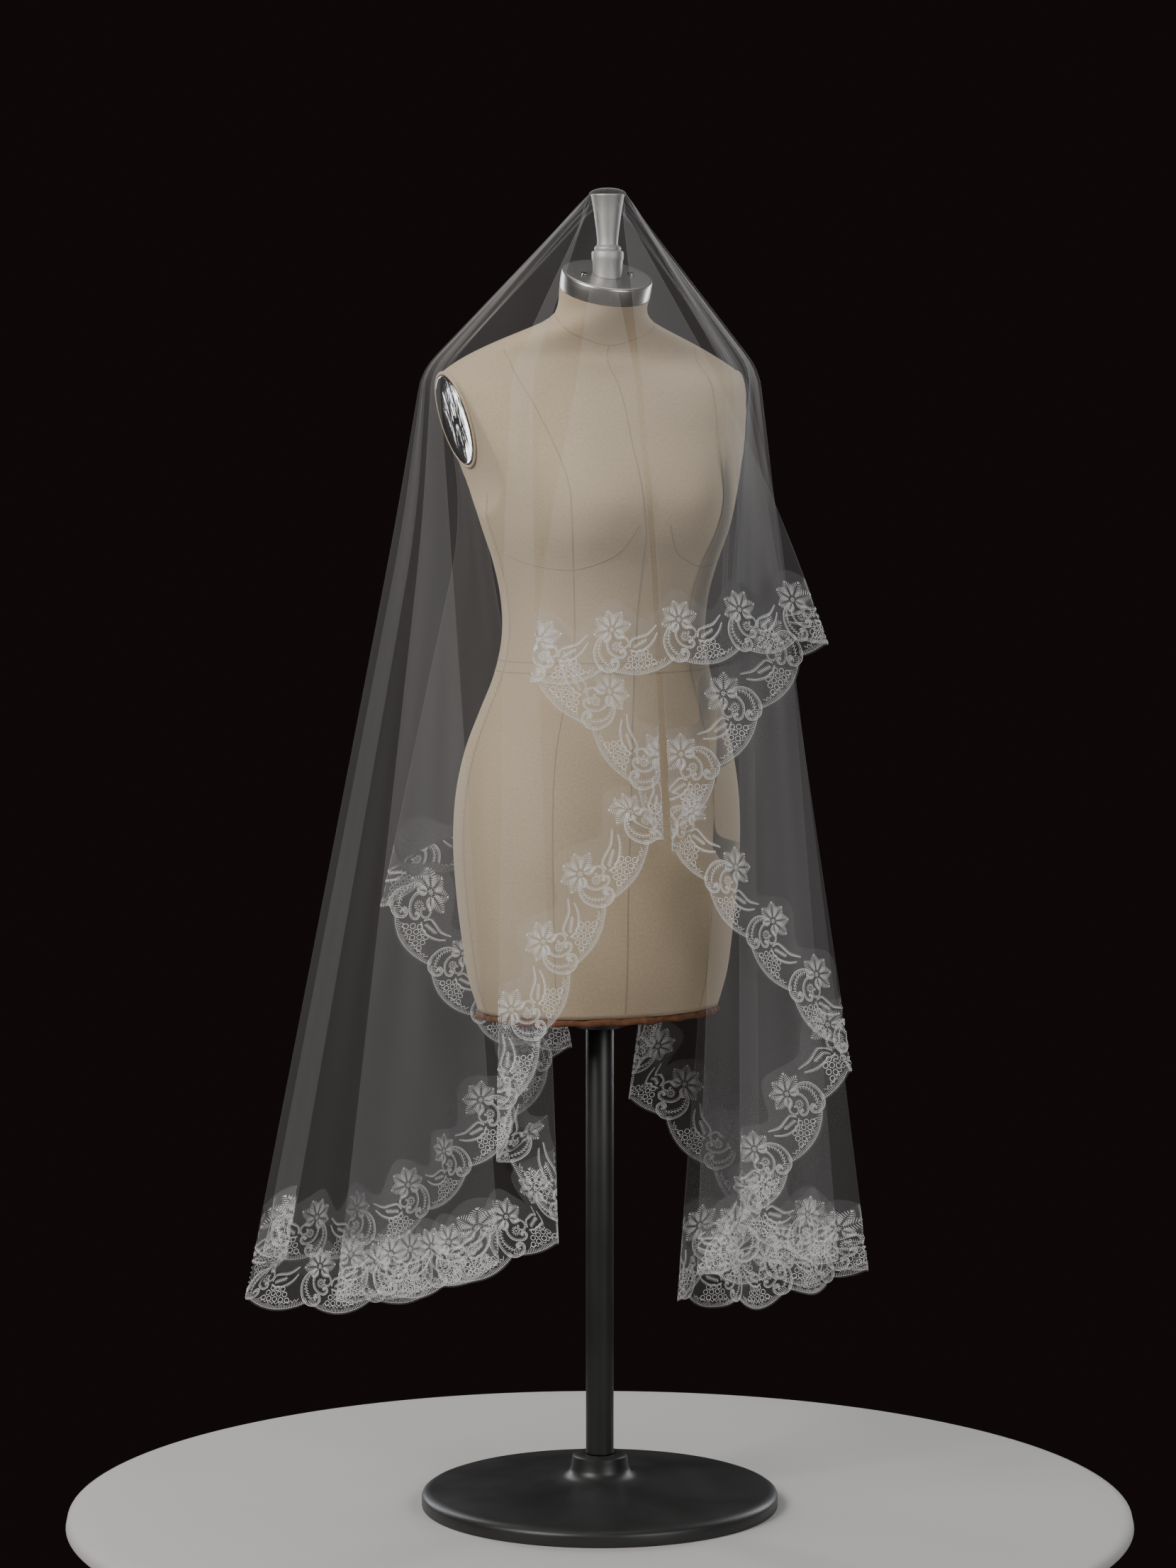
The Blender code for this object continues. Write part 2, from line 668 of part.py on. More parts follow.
def main():
    """Build every piece of the veil, the form and its stand."""
    clear_scene()
    linen = make_material("linen", (0.78, 0.70, 0.58), 0.85)
    brushed = make_material("brushed_steel", (0.62, 0.62, 0.60), 0.35, 1.0)
    mirror = make_material("polished_steel", (0.75, 0.75, 0.75), 0.10, 1.0)
    wood = make_material("pale_wood", (0.55, 0.36, 0.22), 0.70)
    black = make_material("black_paint", (0.02, 0.02, 0.02), 0.45)
    net = make_material("white_tulle", (0.93, 0.93, 0.94), 0.80)
    lace = make_material("white_lace", (0.96, 0.96, 0.96), 0.75)

    build_form(linen)
    build_neck_cap(brushed)
    build_cap_screw("cap_screw_right", -1.0, mirror)
    build_cap_screw("cap_screw_left", 1.0, mirror)
    build_finial(brushed)
    build_arm_plate("arm_plate_right", -1.0, mirror)
    build_arm_plate("arm_plate_left", 1.0, mirror)
    build_board(wood)
    build_stand(black)

    grid = veil_grid()
    build_tulle(grid, net)
    build_lace(grid, lace)


main()
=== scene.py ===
"""A bridal veil of sheer tulle with an embroidered lace edging, on a limbless dress form.

Every surface is worked out in numpy from the sizes and short tables below. The veil is drawn in a
frame of its own: across runs to the viewer's right, depth runs away from the viewer, height is up.
"""

import math

import bpy
import numpy as np
from bpy.props import FloatProperty, FloatVectorProperty, PointerProperty
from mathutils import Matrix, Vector


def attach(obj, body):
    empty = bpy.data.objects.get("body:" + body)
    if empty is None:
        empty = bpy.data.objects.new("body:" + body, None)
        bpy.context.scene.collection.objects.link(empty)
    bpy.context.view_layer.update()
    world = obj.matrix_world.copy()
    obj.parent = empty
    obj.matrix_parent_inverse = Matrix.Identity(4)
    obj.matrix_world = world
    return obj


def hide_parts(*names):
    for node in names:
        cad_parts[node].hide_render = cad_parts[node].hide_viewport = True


bl_info = {
    "name": "Bridal veil on a dress form",
    "version": (1, 0, 0),
    "blender": (4, 5, 0),
    "location": "3D View > Sidebar > Veil",
    "description": "Makes the tulle, the lace edging, the form's cover and its metal fittings",
    "category": "Object",
}

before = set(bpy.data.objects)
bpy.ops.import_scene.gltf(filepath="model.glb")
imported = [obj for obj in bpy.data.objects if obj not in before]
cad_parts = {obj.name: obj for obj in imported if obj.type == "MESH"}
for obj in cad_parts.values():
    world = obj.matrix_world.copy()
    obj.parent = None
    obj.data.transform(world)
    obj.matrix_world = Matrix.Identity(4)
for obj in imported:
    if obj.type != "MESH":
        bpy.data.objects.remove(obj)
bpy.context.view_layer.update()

# The drape's frame, turned about the finial's axis against the form
DRAPE_TURN = math.radians(-25.0)
FINIAL_Y = -0.020

# Levels of the drape
RIM_Z = 1.4975
RIM_RADIUS = 0.0215
DOME_TOP = 1.5055
SHOULDER_Z = 1.302
BUST_Z = 1.130

# The folds in their order round the veil. Left and right tips alternate.
FOLD_COLUMNS = (
    "name", "shoulder_across", "shoulder_depth", "bust_across", "bust_depth",
    "hem_across", "hem_depth", "hem_height", "sag",
)
FOLDS = (
    ("front_left", -0.033, -0.116, -0.065, -0.180, -0.086, -0.184, 0.955, 0.018),
    ("inner_left", 0.029, -0.109, 0.045, -0.173, 0.062, -0.176, 0.783, 0.035),
    ("left_second", -0.106, -0.102, -0.114, -0.165, -0.123, -0.164, 0.422, 0.015),
    ("left_third", -0.082, -0.095, -0.082, -0.157, -0.054, -0.154, 0.335, -0.020),
    ("left_fourth", -0.196, -0.087, -0.206, -0.132, -0.305, -0.140, 0.260, -0.010),
    ("left_inner", -0.188, -0.078, -0.176, -0.108, -0.120, -0.118, 0.298, -0.026),
    ("left_outer", -0.208, -0.040, -0.238, -0.060, -0.413, -0.066, 0.243, 0.010),
    ("left_narrow", -0.203, -0.026, -0.215, -0.034, -0.366, -0.036, 0.289, 0.005),
    ("left_behind", -0.207, -0.012, -0.230, -0.006, -0.394, -0.006, 0.293, -0.088),
    ("back_left_inner", -0.184, 0.045, -0.142, 0.118, -0.040, 0.152, 0.510, -0.060),
    ("back_left", -0.190, 0.072, -0.166, 0.140, -0.266, 0.166, 0.668, 0.078),
    ("back_right", 0.152, 0.178, 0.142, 0.180, 0.130, 0.196, 0.635, 0.010),
    ("back_right_inner", 0.142, 0.166, 0.115, 0.167, 0.025, 0.182, 0.445, 0.005),
    ("right_behind", 0.168, 0.146, 0.168, 0.154, 0.180, 0.168, 0.285, 0.005),
    ("right_behind_inner", 0.162, 0.128, 0.150, 0.140, 0.082, 0.154, 0.205, -0.020),
    ("right_outer", 0.172, 0.050, 0.190, -0.036, 0.297, -0.032, 0.280, -0.015),
    ("right_inner", 0.132, -0.050, 0.130, -0.092, 0.100, -0.086, 0.284, 0.005),
    ("right_fifth", 0.152, -0.064, 0.194, -0.112, 0.260, -0.110, 0.300, -0.015),
    ("right_fourth", 0.140, -0.078, 0.145, -0.134, 0.148, -0.134, 0.348, -0.026),
    ("right_third", 0.148, -0.092, 0.182, -0.150, 0.274, -0.152, 0.518, -0.010),
    ("inner_right", 0.036, -0.102, 0.052, -0.165, 0.070, -0.168, 0.773, 0.008),
    ("front_right", 0.117, -0.109, 0.198, -0.173, 0.247, -0.176, 0.996, 0.000),
)
FOLD_RADIUS = 0.0026
FOLD_ARC_STEPS = 10
PANEL_STEP = 0.0085
SHOULDER_ROUNDING = 0.018
BUST_ROUNDING = 0.070
WRAP_MIDDLE = -0.020
WRAP_AT_BUST = 2.0
WRAP_AT_HEM = 0.5
WRAP_HEM_Z = 0.300
WRAP_FRONT = 0.170
PLEATS_START = -0.02
PLEATS_FULL = 0.14
FRONT_PANEL_ANGLE = math.radians(-12.0)
SHOULDER_LOOP_MIDDLE = (-0.018, 0.030)
SHOULDER_LOOP_ACROSS = 0.186
SHOULDER_LOOP_DEPTH = 0.160

# Soft waves of each panel, in its own size and number, in the order of the folds
WAVE_DRIFT = 2.2
WAVE_PHASE_STEP = 2.399
WAVES_FULL_Z = 0.60
WAVE_SIZES = 0.001 * np.array((
    2.0, 3.0, 1.5, 3.0, 3.0, 5.0, 3.0, 3.0, 14.0, 4.0, 10.0,
    3.0, 3.0, 3.0, 12.0, 9.0, 4.0, 3.0, 3.0, 3.5, 2.5, 2.0,
))
WAVES_IN_PANEL = np.array((
    2.0, 2.0, 1.0, 2.5, 2.0, 2.5, 1.0, 1.0, 3.0, 2.0, 4.5,
    1.5, 2.0, 1.5, 2.5, 2.0, 2.0, 1.5, 1.5, 2.0, 1.5, 2.0,
))

# The lace edging: the tulle's cut edge lies inside the band, above the scallops
CUT_EDGE = 0.045
SCALLOP_PITCH = 0.082
SCALLOP_DEPTH = 0.013
LACE_LIFT = 0.00035
FLOWER_PHASE = 0.16
INNER_EDGE_LOW = 0.060
INNER_EDGE_RISE = 0.028
HEM_STEP = 0.002
HEM_SOFTNESS = 12
THREAD_HEIGHT = 0.00045
EMBROIDERY_PIECES = 4


# How far away the cloth is read again for its normal, in columns and in height
NORMAL_COLUMN_STEP = 0.35
NORMAL_HEIGHT_STEP = 0.002


# General helpers


def mix(first, second, share):
    """Move from first to second by share."""
    return first + (second - first) * share


def smooth_step(value):
    """Rise from 0 to 1 as 3t^2 - 2t^3."""
    value = np.clip(value, 0.0, 1.0)
    return value * value * (3.0 - 2.0 * value)


def to_form(points):
    """Turn points of the drape's frame into the form's frame, by a turn about the finial."""
    cosine = math.cos(DRAPE_TURN)
    sine = math.sin(DRAPE_TURN)
    x = points[..., 0] * cosine - points[..., 1] * sine
    y = points[..., 0] * sine + points[..., 1] * cosine + FINIAL_Y
    return np.stack([x, y, points[..., 2]], axis=-1)


def add_surface(name, points, faces, material, uv=None):
    """Make a smooth mesh object from arrays of points and of four-cornered or three-cornered
    faces, with an optional UV for each point."""
    mesh = bpy.data.meshes.new(name)
    points = np.asarray(points, dtype=np.float32).reshape(-1, 3)
    faces = np.asarray(faces, dtype=np.int32)
    corners = faces.shape[1]
    mesh.vertices.add(len(points))
    mesh.vertices.foreach_set("co", points.ravel())
    mesh.loops.add(faces.size)
    mesh.loops.foreach_set("vertex_index", faces.ravel())
    mesh.polygons.add(len(faces))
    mesh.polygons.foreach_set("loop_start", np.arange(0, faces.size, corners, dtype=np.int32))
    mesh.update(calc_edges=True)
    mesh.shade_smooth()
    if uv is not None:
        layer = mesh.uv_layers.new(name="UVMap")
        values = np.asarray(uv, dtype=np.float32).reshape(-1, 2)[faces.ravel()]
        layer.data.foreach_set("uv", values.ravel())
    mesh.validate()
    mesh.materials.append(material)
    item = bpy.data.objects.new(name, mesh)
    bpy.context.scene.collection.objects.link(item)
    return item


def grid_faces(rows, columns, closed=False):
    """List the four-cornered faces of a grid, whose columns may close into a ring."""
    row = np.arange(rows - 1)[:, None]
    column = np.arange(columns if closed else columns - 1)[None, :]
    after = (column + 1) % columns
    low = row * columns
    high = low + columns
    faces = np.stack([low + column, low + after, high + after, high + column], axis=-1)
    return faces.reshape(-1, 4)


# The drape


def fold_table():
    """Give the fold table's columns as arrays by name."""
    return {
        name: np.array([row[place] for row in FOLDS], dtype=float)
        for place, name in enumerate(FOLD_COLUMNS)
        if name != "name"
    }


TABLE = fold_table()


def fold_sides():
    """Say for each fold if it is a right tip and if depth grows past it."""
    count = len(FOLDS)
    right_tip = np.where(np.arange(count) % 2 == 1, 1.0, -1.0)
    before = np.roll(TABLE["bust_depth"], 1)
    after = np.roll(TABLE["bust_depth"], -1)
    grows = np.where(after > before, 1.0, -1.0)
    back = int(np.argmax(TABLE["bust_depth"]))
    front = int(np.argmin(TABLE["bust_depth"]))
    grows[back] = -1.0
    grows[back - 1] = 1.0
    grows[front] = 1.0
    grows[front - 1] = -1.0
    return right_tip, grows


def cloth_lines():
    """List the lines down the cloth: a half circle round each fold, then even steps across
    the panel after it. Returns fold, share, and the half circles' two shifts."""
    right_tip, grows = fold_sides()
    fold, share, shift_across, shift_depth = [], [], [], []
    for place in range(len(FOLDS)):
        turn = math.pi * (np.arange(FOLD_ARC_STEPS + 1) / FOLD_ARC_STEPS - 0.5)
        fold.append(np.full(len(turn), place))
        share.append(np.zeros(len(turn)))
        shift_across.append(-right_tip[place] * (1.0 - np.cos(turn)))
        shift_depth.append(grows[place] * np.sin(turn))
        after = (place + 1) % len(FOLDS)
        width = abs(TABLE["hem_across"][after] - TABLE["hem_across"][place])
        pieces = max(6, int(round(width / PANEL_STEP)))
        part = np.arange(1, pieces) / pieces
        fold.append(np.full(len(part), place))
        share.append(part)
        shift_across.append(mix(-right_tip[place], -right_tip[after], part))
        shift_depth.append(mix(grows[place], -grows[after], part))
    return (
        np.concatenate(fold),
        np.concatenate(share),
        FOLD_RADIUS * np.concatenate(shift_across),
        FOLD_RADIUS * np.concatenate(shift_depth),
    )


LINES = cloth_lines()


def line_angles():
    """Give each line's angle about the crown, as the flat cloth would have it."""
    fold, share = LINES[0], LINES[1]
    width = np.abs(np.roll(TABLE["hem_across"], -1) - TABLE["hem_across"])
    length = RIM_Z - 0.5 * (TABLE["hem_height"] + np.roll(TABLE["hem_height"], -1))
    angle = width / length
    angle = angle * 2.0 * math.pi / angle.sum()
    start = np.concatenate(([0.0], np.cumsum(angle)[:-1]))
    even = (fold + share) / len(FOLDS)
    spread = (start[fold] + share * angle[fold]) * 0.5 + even * math.pi
    front_middle = 0.5 * (spread[-1] - 2.0 * math.pi + spread[0])
    return FRONT_PANEL_ANGLE - (spread - front_middle)


def station_values():
    """Give for each line its across, depth and hem height at the three stations."""
    fold, share = LINES[0], LINES[1]
    after = (fold + 1) % len(FOLDS)
    values = {name: mix(TABLE[name][fold], TABLE[name][after], share)
              for name in FOLD_COLUMNS[1:8]}
    values["hem_height"] = values["hem_height"] + TABLE["sag"][fold] * 4.0 * share * (1.0 - share)
    values["angle"] = line_angles()
    values["shift_across"] = LINES[2]
    values["shift_depth"] = LINES[3]
    phase = fold * WAVE_PHASE_STEP + share * 2.0 * math.pi * WAVES_IN_PANEL[fold]
    inside = smooth_step(np.minimum(share, 1.0 - share) * 4.0)
    values["wave_sine"] = WAVE_SIZES[fold] * inside * np.sin(phase)
    values["wave_cosine"] = WAVE_SIZES[fold] * inside * np.cos(phase)
    return values


VALUES = station_values()


def line_places(values, height):
    """Place points of the cloth in the drape's frame.

    Across and depth run from the rim to the shoulder, the bust and the hem as one curve:
    straight between the levels, with a cubic that rounds each corner. Near the crown the line
    is blended with a plain cone, so that the pleats fade out there.
    """
    hem = values["hem_height"]
    fall = (RIM_Z - height) / (RIM_Z - SHOULDER_Z)
    above = np.clip(fall, 0.0, 1.0)
    rim_across = RIM_RADIUS * np.sin(values["angle"])
    rim_depth = -RIM_RADIUS * np.cos(values["angle"])
    across = rounded_path(height, hem, rim_across, values["shoulder_across"],
                          values["bust_across"], values["hem_across"])
    depth = rounded_path(height, hem, rim_depth, values["shoulder_depth"],
                         values["bust_depth"], values["hem_depth"])
    low = smooth_step((SHOULDER_Z - height) / (SHOULDER_Z - WAVES_FULL_Z))
    turn = WAVE_DRIFT * (BUST_Z - height)
    wave = values["wave_sine"] * np.cos(turn) + values["wave_cosine"] * np.sin(turn)
    depth = depth + low * wave
    across = across + values["shift_across"]
    depth = depth + values["shift_depth"]
    bow = mix(WRAP_AT_HEM, WRAP_AT_BUST,
              np.clip((height - WRAP_HEM_Z) / (BUST_Z - WRAP_HEM_Z), 0.0, 1.0))
    bow = bow * np.clip(-depth / WRAP_FRONT, 0.0, 1.0)
    depth = depth + bow * (across - WRAP_MIDDLE) ** 2

    loop_across = SHOULDER_LOOP_MIDDLE[0] + SHOULDER_LOOP_ACROSS * np.sin(values["angle"])
    loop_depth = SHOULDER_LOOP_MIDDLE[1] - SHOULDER_LOOP_DEPTH * np.cos(values["angle"])
    plain_across = mix(rim_across, loop_across, above)
    plain_depth = mix(rim_depth, loop_depth, above)
    pleated = smooth_step((fall - PLEATS_START) / (PLEATS_FULL - PLEATS_START))
    across = mix(plain_across, across, pleated)
    depth = mix(plain_depth, depth, pleated)
    return np.stack([across, depth, height + np.zeros_like(across)], axis=-1)


def rounded_path(height, hem, rim, shoulder, bust, foot):
    """Follow straight runs from rim to shoulder to bust to foot. Within a short reach of each
    inner level a parabola rounds the corner off."""
    first = (shoulder - rim) / (SHOULDER_Z - RIM_Z)
    second = (bust - shoulder) / (BUST_Z - SHOULDER_Z)
    third = (foot - bust) / (hem - BUST_Z)
    value = shoulder + second * (height - SHOULDER_Z)
    value = value + (first - second) * soft_ramp(height - SHOULDER_Z, SHOULDER_ROUNDING)
    return value + (second - third) * soft_ramp(BUST_Z - height, BUST_ROUNDING)


def soft_ramp(distance, reach):
    """Give 0 below -reach, the distance above +reach, and a parabola between."""
    middle = (distance + reach) ** 2 / (4.0 * reach)
    return np.where(distance < -reach, 0.0, np.where(distance > reach, distance, middle))


def line_values_at(column):
    """Read every line value at fractional columns, straight between the lines."""
    low = np.floor(column).astype(int)
    share = column - low
    count = len(LINES[0])
    read = {}
    for name, value in VALUES.items():
        closed = np.append(value, value[0] - (2.0 * math.pi if name == "angle" else 0.0))
        read[name] = mix(closed[low % count], closed[low % count + 1], share)
    return read


def place_on_cloth(column, height, lift=0.0):
    """Place points by fractional column and height, in the form's frame.

    A lift moves a point off the cloth along its normal, which is the cross product of the
    steps to a near column and a near height.
    """
    count = len(LINES[0])
    here = line_places(line_values_at(column % count), height)
    if not np.any(lift):
        return to_form(here)
    beside = line_places(line_values_at((column + NORMAL_COLUMN_STEP) % count), height)
    below = line_places(line_values_at(column % count), height - NORMAL_HEIGHT_STEP)
    normal = np.cross(beside - here, below - here)
    normal /= np.maximum(np.linalg.norm(normal, axis=-1, keepdims=True), 1e-12)
    return to_form(here + normal * np.asarray(lift)[..., None])


def hem_course():
    """Follow the hem once round the veil, in even steps of its own length.

    The cloth is unrolled: run is the way along a level line, and the hem's height is drawn over
    it. Returns the hem's length, and by its length the run, the height and a smoothed slope
    angle. The slope angle's smoothing is a moving average, taken twice.
    """
    count = len(LINES[0])
    hem = line_places(VALUES, VALUES["hem_height"])
    step = np.linalg.norm((np.roll(hem, -1, axis=0) - hem)[:, :2], axis=1)
    run = np.concatenate(([0.0], np.cumsum(step)))
    height = np.append(VALUES["hem_height"], VALUES["hem_height"][0])
    length = np.concatenate(([0.0], np.cumsum(np.hypot(np.diff(run), np.diff(height)))))
    steps = int(round(length[-1] / HEM_STEP))
    even = length[-1] * np.arange(steps) / steps
    run_even = np.interp(even, length, run)
    height_even = np.interp(even, length, height)
    rise = np.roll(height_even, -1) - np.roll(height_even, 1)
    level = (np.roll(run_even, -1) - np.roll(run_even, 1)) % run[-1]
    slope = np.arctan2(rise, level)
    for _ in range(2):
        slope = moving_average(slope, HEM_SOFTNESS)
    return {
        "length": length[-1], "even": even, "run": run_even, "height": height_even,
        "slope": slope, "line_run": run, "line_length": length, "columns": count,
    }


def moving_average(values, reach):
    """Average each value of a ring of values with its neighbours up to reach away."""
    ends = np.concatenate([values[-reach:], values, values[:reach]])
    total = np.concatenate(([0.0], np.cumsum(ends)))
    return (total[2 * reach + 1:] - total[:-2 * reach - 1]) / (2 * reach + 1)


HEM = hem_course()
REPEATS = int(round(HEM["length"] / SCALLOP_PITCH))


def place_on_band(along, inward, lift=0.0):
    """Place points of the lace band by the way along the hem and the way in from it.

    A point lies on the unrolled cloth at right angles to the hem: its run is the hem's run less
    inward times the sine of the slope, and its height is the hem's height plus inward times the
    cosine. The run is then read as a column of the cloth.
    """
    place = (along % HEM["length"]) / HEM["length"] * len(HEM["even"])
    low = np.floor(place).astype(int) % len(HEM["even"])
    share = place - np.floor(place)
    after = (low + 1) % len(HEM["even"])
    whole = HEM["line_run"][-1]
    run_after = HEM["run"][after] + np.where(after == 0, whole, 0.0)
    run = mix(HEM["run"][low], run_after, share)
    height = mix(HEM["height"][low], HEM["height"][after], share)
    slope = mix(HEM["slope"][low], HEM["slope"][after], share)
    run = (run - inward * np.sin(slope)) % whole
    height = height + inward * np.cos(slope)
    column = np.interp(run, HEM["line_run"], np.arange(HEM["columns"] + 1))
    return place_on_cloth(column, height, lift)


def scallop_inset(along):
    """Give the scalloped edge's way in from the hem: rounded bellies with sharp dips between."""
    phase = along / HEM["length"] * REPEATS
    return SCALLOP_DEPTH * (1.0 - np.abs(np.sin(math.pi * phase)) ** 0.8)


def inner_edge(along):
    """Give the ground net's wavy inner edge: a cosine that is highest over each flower."""
    phase = along / HEM["length"] * REPEATS + FLOWER_PHASE
    wave = 0.5 + 0.5 * np.cos(2.0 * math.pi * phase)
    return INNER_EDGE_LOW + INNER_EDGE_RISE * wave ** 0.8


# Materials


# The least facing that a sheer cloth is taken to have, where it is seen along its edge
LEAST_FACING = 0.10


def scaled(colour, share):
    """Scale a colour by share."""
    return tuple(share * value for value in colour)


def new_material(name):
    """Start a material and give its node tree, links and Principled shader."""
    material = bpy.data.materials.new(name)
    material.use_nodes = True
    tree = material.node_tree
    return material, tree, tree.links, tree.nodes["Principled BSDF"]


def sheer_cloth(name, colour, cover):
    """Make a sheer cloth. It covers little where it is seen square on, and more where it is
    seen at a slant, as one less the open share to the power of one over the facing. The net's
    threads are in its tone and its bump."""
    material, tree, links, shader = new_material(name)
    effect = use_effect(material, bpy.data.node_groups.get("open_net") or net_effect(), "Object")
    links.new(blend_colours(tree, effect.outputs["Tone"], scaled(colour, 0.78), colour),
              shader.inputs["Base Color"])
    raise_bump(material, effect.outputs["Height"], 0.15, 0.0002)
    shader.inputs["Roughness"].default_value = 0.8
    shader.inputs["Sheen Weight"].default_value = 1.0
    shader.inputs["Sheen Roughness"].default_value = 0.4
    shader.inputs["Specular IOR Level"].default_value = 0.25
    angle = tree.nodes.new("ShaderNodeLayerWeight")
    angle.inputs["Blend"].default_value = 0.5
    facing = combine(tree, "SUBTRACT", 1.0, angle.outputs["Facing"])
    path = combine(tree, "DIVIDE", 1.0, combine(tree, "MAXIMUM", facing, LEAST_FACING))
    through = combine(tree, "POWER", 1.0 - cover, path)
    links.new(combine(tree, "SUBTRACT", 1.0, through), shader.inputs["Alpha"])
    return material


# Shared effects: node groups that give only varying values


def start_effect(name, outputs):
    """Start a node group with a Vector input, and the named outputs. Returns its parts."""
    group = bpy.data.node_groups.new(name, "ShaderNodeTree")
    group.interface.new_socket("Vector", in_out="INPUT", socket_type="NodeSocketVector")
    for output, kind in outputs:
        group.interface.new_socket(output, in_out="OUTPUT", socket_type=kind)
    return group, group.nodes.new("NodeGroupInput"), group.nodes.new("NodeGroupOutput")


def streaks(tree, vector, scale, stretch=(1.0, 1.0, 1.0), detail=3.0):
    """Add a noise texture that is stretched by its own scale along each coordinate."""
    mapping = tree.nodes.new("ShaderNodeMapping")
    mapping.inputs["Scale"].default_value = stretch
    tree.links.new(vector, mapping.inputs["Vector"])
    noise = tree.nodes.new("ShaderNodeTexNoise")
    noise.inputs["Scale"].default_value = scale
    noise.inputs["Detail"].default_value = detail
    tree.links.new(mapping.outputs["Vector"], noise.inputs["Vector"])
    return noise.outputs["Fac"]


def spread(tree, value, low, high):
    """Map a value from 0..1 to low..high."""
    node = tree.nodes.new("ShaderNodeMapRange")
    node.inputs["To Min"].default_value = low
    node.inputs["To Max"].default_value = high
    tree.links.new(value, node.inputs["Value"])
    return node.outputs["Result"]


def combine(tree, kind, *values):
    """Combine two values, each a number or a node's output, with one math step."""
    node = tree.nodes.new("ShaderNodeMath")
    node.operation = kind
    for value, socket in zip(values, node.inputs):
        if isinstance(value, float):
            socket.default_value = value
        else:
            tree.links.new(value, socket)
    return node.outputs[0]


def blend_colours(tree, share, first, second):
    """Blend two colours by a value."""
    node = tree.nodes.new("ShaderNodeMix")
    node.data_type = "RGBA"
    node.inputs[6].default_value = (*first, 1.0)
    node.inputs[7].default_value = (*second, 1.0)
    tree.links.new(share, node.inputs[0])
    return node.outputs[2]


def thread_bands(tree, vector, direction, scale, waver=0.0):
    """Add bands of threads across one direction."""
    wave = tree.nodes.new("ShaderNodeTexWave")
    wave.wave_type = "BANDS"
    wave.bands_direction = direction
    wave.inputs["Scale"].default_value = scale
    wave.inputs["Distortion"].default_value = waver
    wave.inputs["Detail"].default_value = 1.0
    wave.inputs["Detail Scale"].default_value = 0.3
    tree.links.new(vector, wave.inputs["Vector"])
    return wave.outputs["Fac"]


def weave_effect():
    """Plain weave: two bands of threads at right angles, thick and thin by a noise."""
    tree, given, result = start_effect(
        "linen_weave", (("Height", "NodeSocketFloat"), ("Tone", "NodeSocketFloat")))
    bands = [thread_bands(tree, given.outputs["Vector"], direction, 320.0, 0.8)
             for direction in ("X", "Y")]
    slub_up = streaks(tree, given.outputs["Vector"], 60.0, (14.0, 1.0, 1.0))
    slub_over = streaks(tree, given.outputs["Vector"], 60.0, (1.0, 14.0, 1.0))
    height = combine(tree, "MULTIPLY", bands[0], bands[1])
    slub = combine(tree, "ADD", slub_up, slub_over)
    slub = combine(tree, "MULTIPLY", slub, 0.5)
    total = combine(tree, "ADD", height, slub)
    tree.links.new(total, result.inputs["Height"])
    tree.links.new(combine(tree, "MULTIPLY", total, 0.55), result.inputs["Tone"])
    return tree


def net_effect():
    """Net: the higher of two crossing bands of threads, with patches where it is thicker."""
    tree, given, result = start_effect(
        "open_net", (("Height", "NodeSocketFloat"), ("Tone", "NodeSocketFloat")))
    bands = [thread_bands(tree, given.outputs["Vector"], direction, 160.0)
             for direction in ("X", "Z")]
    thread = combine(tree, "MAXIMUM", bands[0], bands[1])
    patch = streaks(tree, given.outputs["Vector"], 9.0, (3.0, 3.0, 0.6), 0.0)
    tree.links.new(thread, result.inputs["Height"])
    tree.links.new(combine(tree, "ADD", combine(tree, "MULTIPLY", thread, 0.4),
                           spread(tree, patch, 0.0, 0.7)), result.inputs["Tone"])
    return tree


def brushed_effect():
    """Brushed metal: noise drawn out along the first coordinate."""
    tree, given, result = start_effect(
        "brushed_lines", (("Height", "NodeSocketFloat"), ("Gloss", "NodeSocketFloat")))
    fine = streaks(tree, given.outputs["Vector"], 1.0, (0.7, 5200.0, 1.0), 2.0)
    broad = streaks(tree, given.outputs["Vector"], 1.0, (0.5, 900.0, 1.0), 2.0)
    both = combine(tree, "MULTIPLY", combine(tree, "ADD", fine, broad), 0.5)
    tree.links.new(both, result.inputs["Height"])
    tree.links.new(spread(tree, both, 0.20, 0.42), result.inputs["Gloss"])
    return tree


def coordinates(tree, kind):
    """Give a material's UV or Object coordinates."""
    return tree.nodes.new("ShaderNodeTexCoord").outputs[kind]


def use_effect(material, group, kind):
    """Add a node group to a material, fed by its UV or its Object coordinates."""
    tree = material.node_tree
    effect = tree.nodes.new("ShaderNodeGroup")
    effect.node_tree = group
    tree.links.new(coordinates(tree, kind), effect.inputs["Vector"])
    return effect


def raise_bump(material, height, strength, distance):
    """Feed a height to the shader's normal through a bump."""
    nodes, links = material.node_tree.nodes, material.node_tree.links
    bump = nodes.new("ShaderNodeBump")
    bump.inputs["Strength"].default_value = strength
    bump.inputs["Distance"].default_value = distance
    links.new(height, bump.inputs["Height"])
    links.new(bump.outputs["Normal"], nodes["Principled BSDF"].inputs["Normal"])


